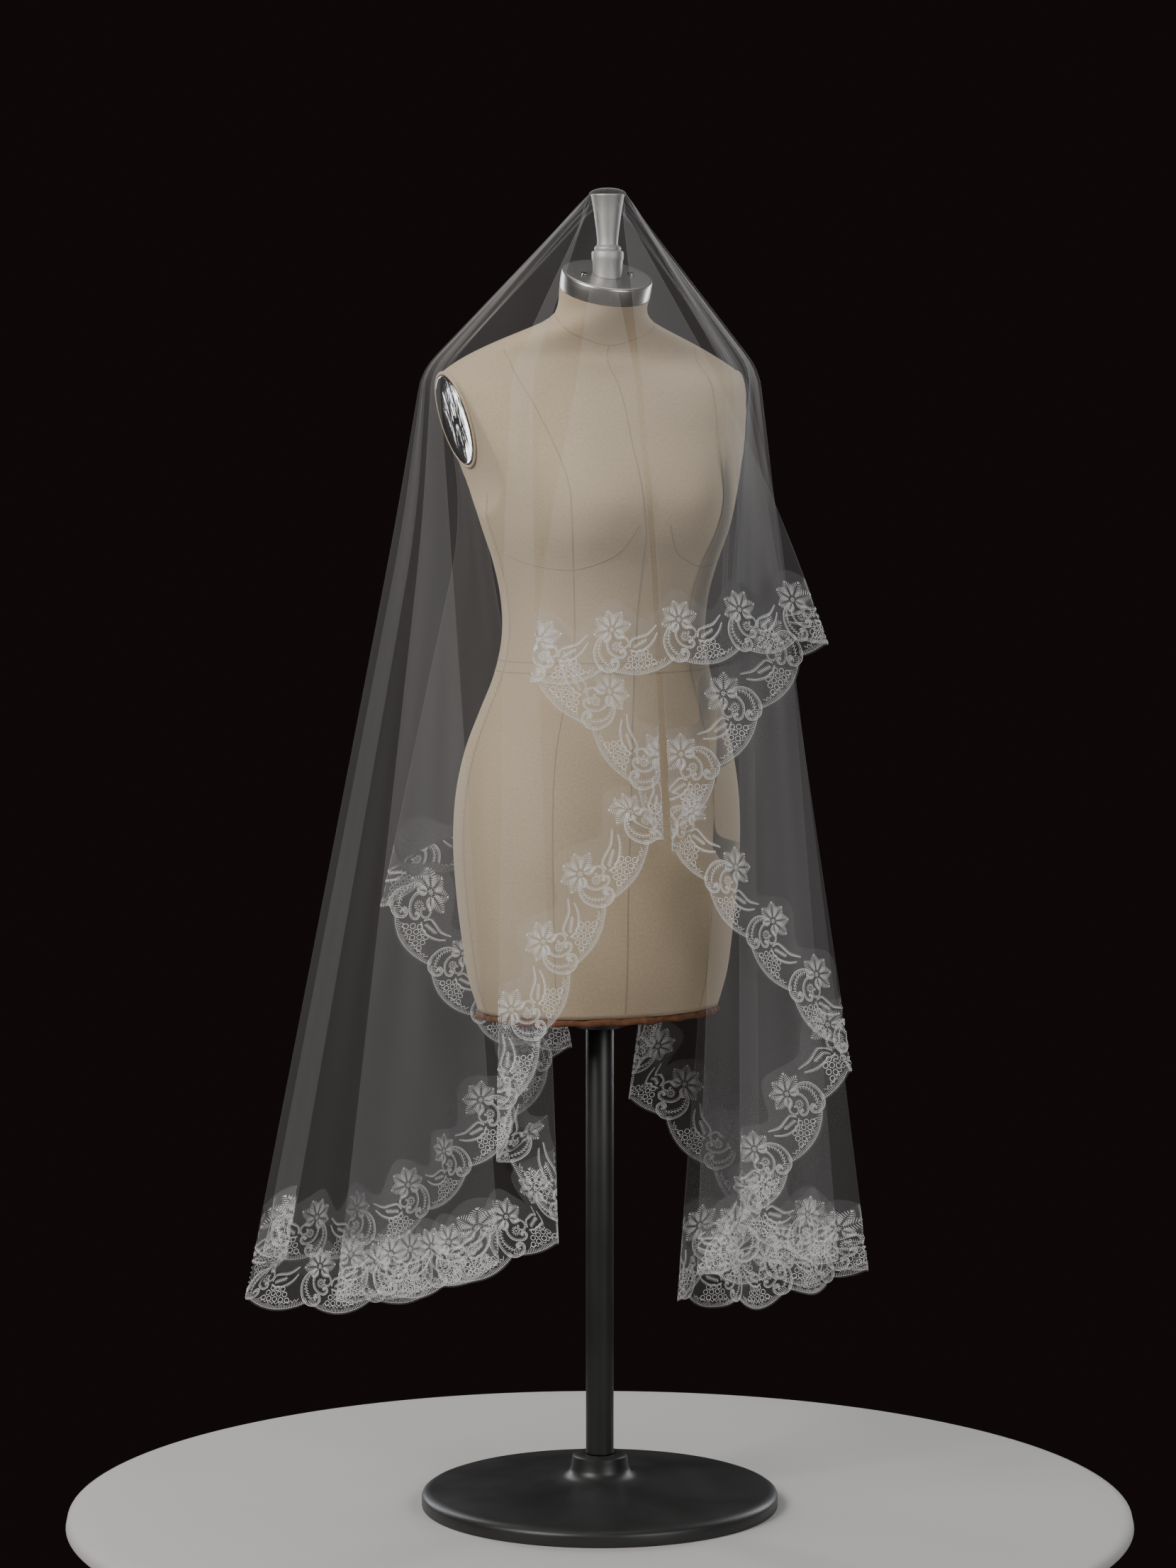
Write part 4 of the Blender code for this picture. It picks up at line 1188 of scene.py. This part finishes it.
def turned_surface(name, profile, material, place=None, steps=96):
    """Turn a profile of radius and height about +Z, with a UV round and along it."""
    profile = np.array(profile, dtype=float)
    angle = 2.0 * math.pi * np.arange(steps + 1) / steps
    grid = np.stack([
        profile[:, :1] * np.cos(angle)[None, :],
        profile[:, :1] * np.sin(angle)[None, :],
        np.broadcast_to(profile[:, 1:], (len(profile), len(angle))),
    ], axis=-1)
    if place is not None:
        grid = place(grid)
    run = np.concatenate(([0.0], np.cumsum(np.linalg.norm(np.diff(profile, axis=0), axis=1))))
    uv = np.stack(np.broadcast_arrays(angle[None, :], run[:, None]), axis=-1)
    item = add_surface(name, grid, grid_faces(*grid.shape[:2]), material, uv)
    item.data.set_sharp_from_angle(angle=math.radians(38.0))
    return item


def make_neck_cap(material):
    """Make the metal cap: a turned disc with a rounded rim, tilted with the neck."""
    profile = ((CAP_RADIUS - 0.0010, -CAP_HEIGHT), (CAP_RADIUS - 0.0002, -CAP_HEIGHT + 0.0004),
               (CAP_RADIUS, -CAP_HEIGHT + 0.0014), (CAP_RADIUS, -0.0026),
               (CAP_RADIUS - 0.0005, -0.0011), (CAP_RADIUS - 0.0018, -0.0002),
               (CAP_RADIUS - 0.0032, 0.0), (0.0390, 0.0), (0.0200, 0.0), (0.0001, 0.0))
    return turned_surface("neck_cap_metal", profile, material, tilted)


def make_cap_screw(name, side, material):
    """Make a screw head with a dished top on the cap, at one side of the finial."""
    profile = ((0.0045, 0.0003), (0.0045, 0.0010), (0.0041, 0.0016), (0.0030, 0.0019),
               (0.0019, 0.0018), (0.0017, 0.0009), (0.0001, 0.0008))
    shift = np.array([side * SCREW_ACROSS, 0.0, 0.0])
    return turned_surface(name, profile, material, lambda grid: tilted(grid + shift), 32)


def make_finial(material):
    """Make the flared finial: a turned profile whose lowest ring follows the tilted cap."""
    profile = ((0.0162, 1.4200), (0.0171, 1.4240), (0.0178, 1.4262), (0.0180, 1.4290),
               (0.0180, 1.4330), (0.0176, 1.4344), (0.0166, 1.4350), (0.0146, 1.4358),
               (0.0151, 1.4372), (0.0151, 1.4386), (0.0137, 1.4405), (0.0117, 1.4418),
               (0.0115, 1.4440), (0.0121, 1.4520), (0.0131, 1.4600), (0.0155, 1.4780),
               (0.0183, 1.4952), (0.0189, 1.4966), (0.0190, 1.4975), (0.0186, 1.4982),
               (0.0178, 1.4985), (0.0001, 1.4985))

    def place(grid):
        moved = grid + np.array([0.0, FINIAL_Y, 0.0])
        foot = grid[0].copy()
        foot[:, 2] = 0.0
        moved[0] = tilted(foot, -SEAT_GAP)
        return moved
    return turned_surface("finial_metal", profile, material, place)


def arm_frame(side):
    """Give an arm plate's centre, its normal and its long axis."""
    lean = math.atan(ARM_PLATE_SLOPE)
    return (np.array(ARM_PLATE_CENTRE) * (side, 1.0, 1.0),
            np.array([side * math.cos(lean), 0.0, -math.sin(lean)]),
            np.array([side * math.sin(lean), 0.0, math.cos(lean)]))


def make_arm_plate(name, side, material):
    """Make one polished oval plate at an arm's end: rings of growing share of the oval, lifted
    along the plate's normal, with a rounded rim and a shallow dish."""
    centre, outward, upward = arm_frame(side)

    def place(grid):
        lift = grid[..., 2:3]
        return (centre + outward * lift + upward * grid[..., 1:2] * ARM_PLATE_LONG
                + np.array([0.0, 1.0, 0.0]) * grid[..., 0:1] * ARM_PLATE_WIDE * side)
    profile = ((1.0, 0.0003), (1.0, 0.0022), (0.994, 0.0029), (0.980, 0.0033), (0.955, 0.0032),
               (0.925, 0.0024), (0.90, 0.0021), (0.6, 0.0020), (0.3, 0.0020), (0.10, 0.0020),
               (0.095, 0.0032), (0.07, 0.0036), (0.001, 0.0037))
    return turned_surface(name, profile, material, place)


def make_arm_piping(name, side, material):
    """Make the linen roll round an arm plate: a tube whose middle follows the plate's oval."""
    centre, outward, upward = arm_frame(side)
    angle = 2.0 * math.pi * np.arange(121) / 120
    turn = 2.0 * math.pi * np.arange(13) / 12
    radial = (upward * np.sin(angle)[:, None] * (ARM_PLATE_LONG + PIPING_GAP)
              + np.array([0.0, 1.0, 0.0]) * np.cos(angle)[:, None]
              * (ARM_PLATE_WIDE + PIPING_GAP))
    away = radial / np.linalg.norm(radial, axis=1, keepdims=True)
    grid = (centre + radial[:, None] + away[:, None] * np.cos(turn)[:, None] * PIPING_RADIUS
            + outward * (np.sin(turn)[:, None] * PIPING_RADIUS + 0.0006))
    uv = np.stack(np.broadcast_arrays(angle[:, None] * 0.05, turn[None, :] * 0.002), axis=-1)
    return add_surface(name, grid, grid_faces(*grid.shape[:2]), material, uv)


# Each ring of the board: how far it is let out, its drop below the top and its raggedness
BOARD_RINGS = (
    (-0.130, BOARD_THICKNESS, 0.0), (-0.002, BOARD_THICKNESS, 0.6), (0.0012, 0.0072, 1.0),
    (0.0018, 0.0050, 1.0), (0.0012, 0.0022, 0.8), (-0.001, 0.0, 0.5), (-0.060, 0.0, 0.0),
)


def make_foot_board(material):
    """Make the ragged board under the form: its edge is the form's foot, let out by a sum of
    sines of the angle that gives torn lobes of uneven width."""
    angle = 2.0 * math.pi * np.arange(361) / 360
    ragged = (0.0016 * np.sin(7 * angle + 0.6) + 0.0013 * np.sin(17 * angle + 2.0)
              + 0.0009 * np.sin(41 * angle) + 0.0006 * np.sin(83 * angle + 1.0))
    top = FORM_FOOT - SEAT_GAP
    middle = np.array([0.0, 0.003, 0.0])
    away = place_on_form(angle, np.full(len(angle), FORM_FOOT)) - middle
    away[:, 2] = 0.0
    reach = np.linalg.norm(away, axis=1, keepdims=True)
    lift, drop, rough = np.array(BOARD_RINGS).T[:, :, None]
    share = np.maximum(reach[:, 0] + lift + ragged * rough, 0.004) / reach[:, 0]
    grid = middle + away * share[..., None]
    grid[..., 2] = top - drop + 0.0008 * rough * np.sin(23 * angle)
    return add_surface("foot_board_edge", grid, grid_faces(*grid.shape[:2]), material)


def make_stand(material):
    """Make the flange, the pole and the round base as turned profiles."""
    low = FORM_FOOT - SEAT_GAP - BOARD_THICKNESS
    flange = ((0.0279, low - 0.0143), (0.0312, low - 0.0100), (0.0330, low - 0.0076),
              (0.0440, low - 0.0058), (0.0450, low - 0.0045), (0.0450, low - 0.0012),
              (0.0442, low - 0.0003))
    pole = ((0.0150, 0.0603), (0.0160, 0.0610), (0.0160, 0.3000), (0.0160, low - 0.0155),
            (0.0155, low - 0.0146))
    base = ((0.2030, 0.0), (0.2046, 0.0006), (0.2050, 0.0020), (0.2050, 0.0120), (0.2036, 0.0152),
            (0.2000, 0.0178), (0.1940, 0.0200), (0.1400, 0.0235), (0.0900, 0.0268),
            (0.0620, 0.0300), (0.0440, 0.0335), (0.0360, 0.0385), (0.0330, 0.0450),
            (0.0320, 0.0540), (0.0312, 0.0580), (0.0285, 0.0600), (0.0162, 0.0600))
    return [turned_surface("stand_flange", flange, material),
            turned_surface("stand_pole", pole, material, steps=64),
            turned_surface("stand_base", base, material, steps=160)]


# The studio

CAMERA_DISTANCE = 5.5
CAMERA_Z = 1.35
CAMERA_AIM_Z = 0.835
CAMERA_AIM_ACROSS = -0.022
CAMERA_LENS = 112.0


def make_floor(material):
    """Make the round pale floor: rings of growing radius, with a rounded rim."""
    radius = np.array([0.0001, 0.2, 0.4, 0.56, 0.60, 0.61, 0.612])
    height = np.array([0.0, 0.0, 0.0, 0.0, 0.0, -0.003, -0.012])
    turn = 2.0 * math.pi * np.arange(160) / 160
    grid = np.stack([
        radius[:, None] * np.cos(turn)[None, :],
        radius[:, None] * np.sin(turn)[None, :],
        np.broadcast_to(height[:, None], (len(radius), len(turn))),
    ], axis=-1)
    return add_surface("studio_floor", grid, grid_faces(*grid.shape[:2], closed=True), material)


def add_camera():
    """Put the camera where the photograph was taken from: level with the form's shoulders,
    turned a little to the form's right, looking slightly down."""
    data = bpy.data.cameras.new("photo_view")
    data.sensor_width = 36.0
    data.lens = CAMERA_LENS
    data.clip_start = 0.1
    data.clip_end = 50.0
    camera = bpy.data.objects.new("photo_view", data)
    bpy.context.scene.collection.objects.link(camera)
    right = Vector((math.cos(DRAPE_TURN), math.sin(DRAPE_TURN), 0.0))
    away = Vector((-math.sin(DRAPE_TURN), math.cos(DRAPE_TURN), 0.0))
    aim = Vector((0.0, FINIAL_Y, CAMERA_AIM_Z)) + right * CAMERA_AIM_ACROSS
    place = aim - away * CAMERA_DISTANCE
    place.z = CAMERA_Z
    camera.location = place
    camera.rotation_mode = "QUATERNION"
    camera.rotation_quaternion = (aim - place).to_track_quat("-Z", "Y")
    bpy.context.scene.camera = camera


def add_soft_light(name, across, depth, height, aim_height, width, length, power, colour):
    """Hang one area light in the drape's frame and aim it at the finial's axis."""
    data = bpy.data.lights.new(name, "AREA")
    data.shape = "RECTANGLE"
    data.size = width
    data.size_y = length
    data.energy = power
    data.color = colour
    light = bpy.data.objects.new(name, data)
    bpy.context.scene.collection.objects.link(light)
    place = Vector(to_form(np.array([across, depth, height])).tolist())
    light.location = place
    aim = Vector((0.0, FINIAL_Y, aim_height))
    light.rotation_mode = "QUATERNION"
    light.rotation_quaternion = (aim - place).to_track_quat("-Z", "Y")


# name, across, depth, height, aim height, width, length, power, colour
SOFT_LIGHTS = (
    ("front_softbox_left", -2.15, -2.1, 2.6, 1.2, 1.4, 1.7, 119.0, (1.0, 0.975, 0.935)),
    ("front_softbox_right", 2.2, -3.0, 1.9, 1.1, 1.6, 1.8, 60.0, (1.0, 0.99, 0.98)),
    ("back_strip_left", -1.8, 2.2, 1.6, 0.8, 0.6, 2.2, 37.0, (0.95, 0.98, 1.0)),
    ("back_strip_right", 1.9, 2.0, 1.4, 0.7, 0.6, 1.8, 30.0, (0.95, 0.98, 1.0)),
    ("top_softbox", 0.0, 0.2, 3.2, 0.9, 1.6, 1.6, 15.0, (1.0, 1.0, 1.0)),
)


def set_dark_studio(colour):
    """Keep the air round the veil dark, as its sheer layers only show against the dark."""
    world = bpy.data.worlds.new("dark_studio")
    world.use_nodes = True
    world.node_tree.nodes["Background"].inputs["Color"].default_value = (*colour, 1.0)
    world.node_tree.nodes["Background"].inputs["Strength"].default_value = 1.0
    bpy.context.scene.world = world


# Sizes and colours that a user may change


COLOUR = {"subtype": "COLOR", "size": 3, "min": 0.0, "max": 1.0}
COVER = {"subtype": "FACTOR", "min": 0.01, "max": 0.9}


class VeilSettings(bpy.types.PropertyGroup):
    tulle_colour: FloatVectorProperty(
        name="Tulle colour", description="Colour of the veil's net", default=(0.90, 0.90, 0.92),
        **COLOUR)
    tulle_cover: FloatProperty(
        name="Tulle cover", description="Share that one layer hides, seen square on",
        default=0.0235, **COVER)
    lace_cover: FloatProperty(
        name="Lace net cover", description="Share that the edging's net hides, seen square on",
        default=0.045, **COVER)


class FormSettings(bpy.types.PropertyGroup):
    linen_colour: FloatVectorProperty(
        name="Linen colour", description="Colour of the form's cover",
        default=(0.505, 0.402, 0.277), **COLOUR)
    steel_colour: FloatVectorProperty(
        name="Steel colour", description="Colour of the metal fittings",
        default=(0.50, 0.49, 0.475), **COLOUR)
    paint_colour: FloatVectorProperty(
        name="Stand paint", description="Colour of the stand's paint",
        default=(0.012, 0.012, 0.012), **COLOUR)


class StageSettings(bpy.types.PropertyGroup):
    floor_colour: FloatVectorProperty(
        name="Floor colour", description="Colour of the studio floor", default=(0.50, 0.49, 0.48),
        **COLOUR)
    air_colour: FloatVectorProperty(
        name="Air colour", description="Colour of the studio behind the veil",
        default=(0.0072, 0.0044, 0.0044), **COLOUR)


def seat(piece, slot, *nodes):
    """Let a piece ride on the part and stand for its solids, which it hides. Its slot is not used.
    """
    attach(piece, "root")
    if nodes:
        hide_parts(*nodes)
    return piece


class VEIL_OT_tulle(bpy.types.Operator):
    """Make the veil's one layer of tulle"""
    bl_idname = "veil.tulle"
    bl_label = "Tulle"

    def execute(self, context):
        settings = context.scene.veil_settings
        net = sheer_cloth("white_tulle", settings.tulle_colour, settings.tulle_cover)
        veil = make_tulle(net)
        seat(veil, "tulle", "tulle")
        return {"FINISHED"}


class VEIL_OT_lace(bpy.types.Operator):
    """Make the edging's net and its embroidery"""
    bl_idname = "veil.lace"
    bl_label = "Lace edging"

    def execute(self, context):
        settings = context.scene.veil_settings
        net = sheer_cloth("lace_net", settings.tulle_colour, settings.lace_cover)
        ground = make_lace_ground(net)
        seat(ground, "lace", "lace_edging")
        # The second colour is the thread's painted shade, laid in the twist's bands.
        thread = silk_thread("white_thread", (0.93, 0.93, 0.92), (0.72, 0.72, 0.72))
        parts = np.linspace(0, REPEATS, EMBROIDERY_PIECES + 1).astype(int)
        for place in range(EMBROIDERY_PIECES):
            piece = make_embroidery("lace_embroidery_%d" % (place + 1), parts[place],
                                    parts[place + 1], thread)
            seat(piece, "lace", "lace_edging")
        return {"FINISHED"}


class VEIL_OT_form(bpy.types.Operator):
    """Make the form's linen cover, its seams and the board under it"""
    bl_idname = "veil.form"
    bl_label = "Linen form"

    def execute(self, context):
        settings = context.scene.form_settings
        colour = tuple(settings.linen_colour)
        shade = scaled(colour, 0.74)
        linen = linen_cloth("undyed_linen", colour, shade)
        # The seams and the side stitches are darker than the linen by painted shade, standing for
        # the shade in the seam's dip.
        sewn = seam_thread_painted_shade("linen_seam_painted_shade", scaled(colour, 0.66), shade)
        pulp = pulp_board("brown_pulp", (0.045, 0.022, 0.012), (0.22, 0.085, 0.035))
        seat(make_form_cover(linen), "linen", "torso")
        seat(make_form_seams(sewn), "linen")
        seat(make_side_stitches(sewn), "linen")
        seat(make_arm_piping("arm_piping_right", -1.0, linen), "linen")
        seat(make_arm_piping("arm_piping_left", 1.0, linen), "linen")
        seat(make_foot_board(pulp), "board_wood", "foot_board")
        return {"FINISHED"}


class VEIL_OT_fittings(bpy.types.Operator):
    """Make the cap, its screws, the finial and the arm plates"""
    bl_idname = "veil.fittings"
    bl_label = "Metal fittings"

    def execute(self, context):
        colour = tuple(context.scene.form_settings.steel_colour)
        lines = brushed_effect()
        brushed = brushed_metal("brushed_steel_lines", colour, lines, 0.02)
        turned = brushed_metal("turned_aluminium", scaled(colour, 0.94), lines, 0.30)
        # The plates' and screw heads' colour runs from dark to light in broad streaks: painted
        # reflection.
        mirror = polished_metal_painted_reflection("polished_plate_painted_reflection", scaled(colour, 0.68))
        seat(make_neck_cap(brushed), "brushed_steel", "neck_cap")
        seat(make_finial(turned), "finial_metal", "finial")
        for name, side in (("right", -1.0), ("left", 1.0)):
            seat(make_cap_screw("cap_screw_head_" + name, side, mirror), "polished_steel",
                 "cap_screw_" + name)
            seat(make_arm_plate("arm_plate_metal_" + name, side, mirror), "polished_steel",
                 "arm_plate_" + name)
        return {"FINISHED"}


class VEIL_OT_stand(bpy.types.Operator):
    """Make the flange, the pole and the base"""
    bl_idname = "veil.stand"
    bl_label = "Stand"

    def execute(self, context):
        paint = black_enamel("satin_black_paint", tuple(context.scene.form_settings.paint_colour))
        for piece, node in zip(make_stand(paint), ("flange", "pole", "base")):
            seat(piece, "black_paint", node)
        return {"FINISHED"}


class VEIL_OT_stage(bpy.types.Operator):
    """Make the floor, the camera and the lights"""
    bl_idname = "veil.stage"
    bl_label = "Studio"

    def execute(self, context):
        settings = context.scene.stage_settings
        floor = make_floor(studio_floor_paint("pale_floor", settings.floor_colour))
        add_camera()
        for row in SOFT_LIGHTS:
            add_soft_light(*row)
        set_dark_studio(settings.air_colour)
        return {"FINISHED"}


class VEIL_PT_panel(bpy.types.Panel):
    """List the pieces that can be made"""
    bl_idname = "VEIL_PT_panel"
    bl_label = "Bridal veil"
    bl_space_type = "VIEW_3D"
    bl_region_type = "UI"
    bl_category = "Veil"

    def draw(self, context):
        for settings in (context.scene.veil_settings, context.scene.form_settings,
                         context.scene.stage_settings):
            for name in settings.__annotations__:
                self.layout.prop(settings, name)
        for piece in PIECES:
            self.layout.operator(piece.bl_idname)


PIECES = (VEIL_OT_tulle, VEIL_OT_lace, VEIL_OT_form, VEIL_OT_fittings, VEIL_OT_stand,
          VEIL_OT_stage)
CLASSES = (VeilSettings, FormSettings, StageSettings) + PIECES + (VEIL_PT_panel,)


def register():
    """Register the classes and their settings."""
    for item in CLASSES:
        bpy.utils.register_class(item)
    bpy.types.Scene.veil_settings = PointerProperty(type=VeilSettings)
    bpy.types.Scene.form_settings = PointerProperty(type=FormSettings)
    bpy.types.Scene.stage_settings = PointerProperty(type=StageSettings)


def unregister():
    """Take the classes and their settings away again."""
    del bpy.types.Scene.stage_settings
    del bpy.types.Scene.form_settings
    del bpy.types.Scene.veil_settings
    for item in reversed(CLASSES):
        bpy.utils.unregister_class(item)


def main():
    register()
    bpy.ops.veil.tulle()
    bpy.ops.veil.lace()
    bpy.ops.veil.form()
    bpy.ops.veil.fittings()
    bpy.ops.veil.stand()
    bpy.ops.veil.stage()


if __name__ == "__main__":
    main()
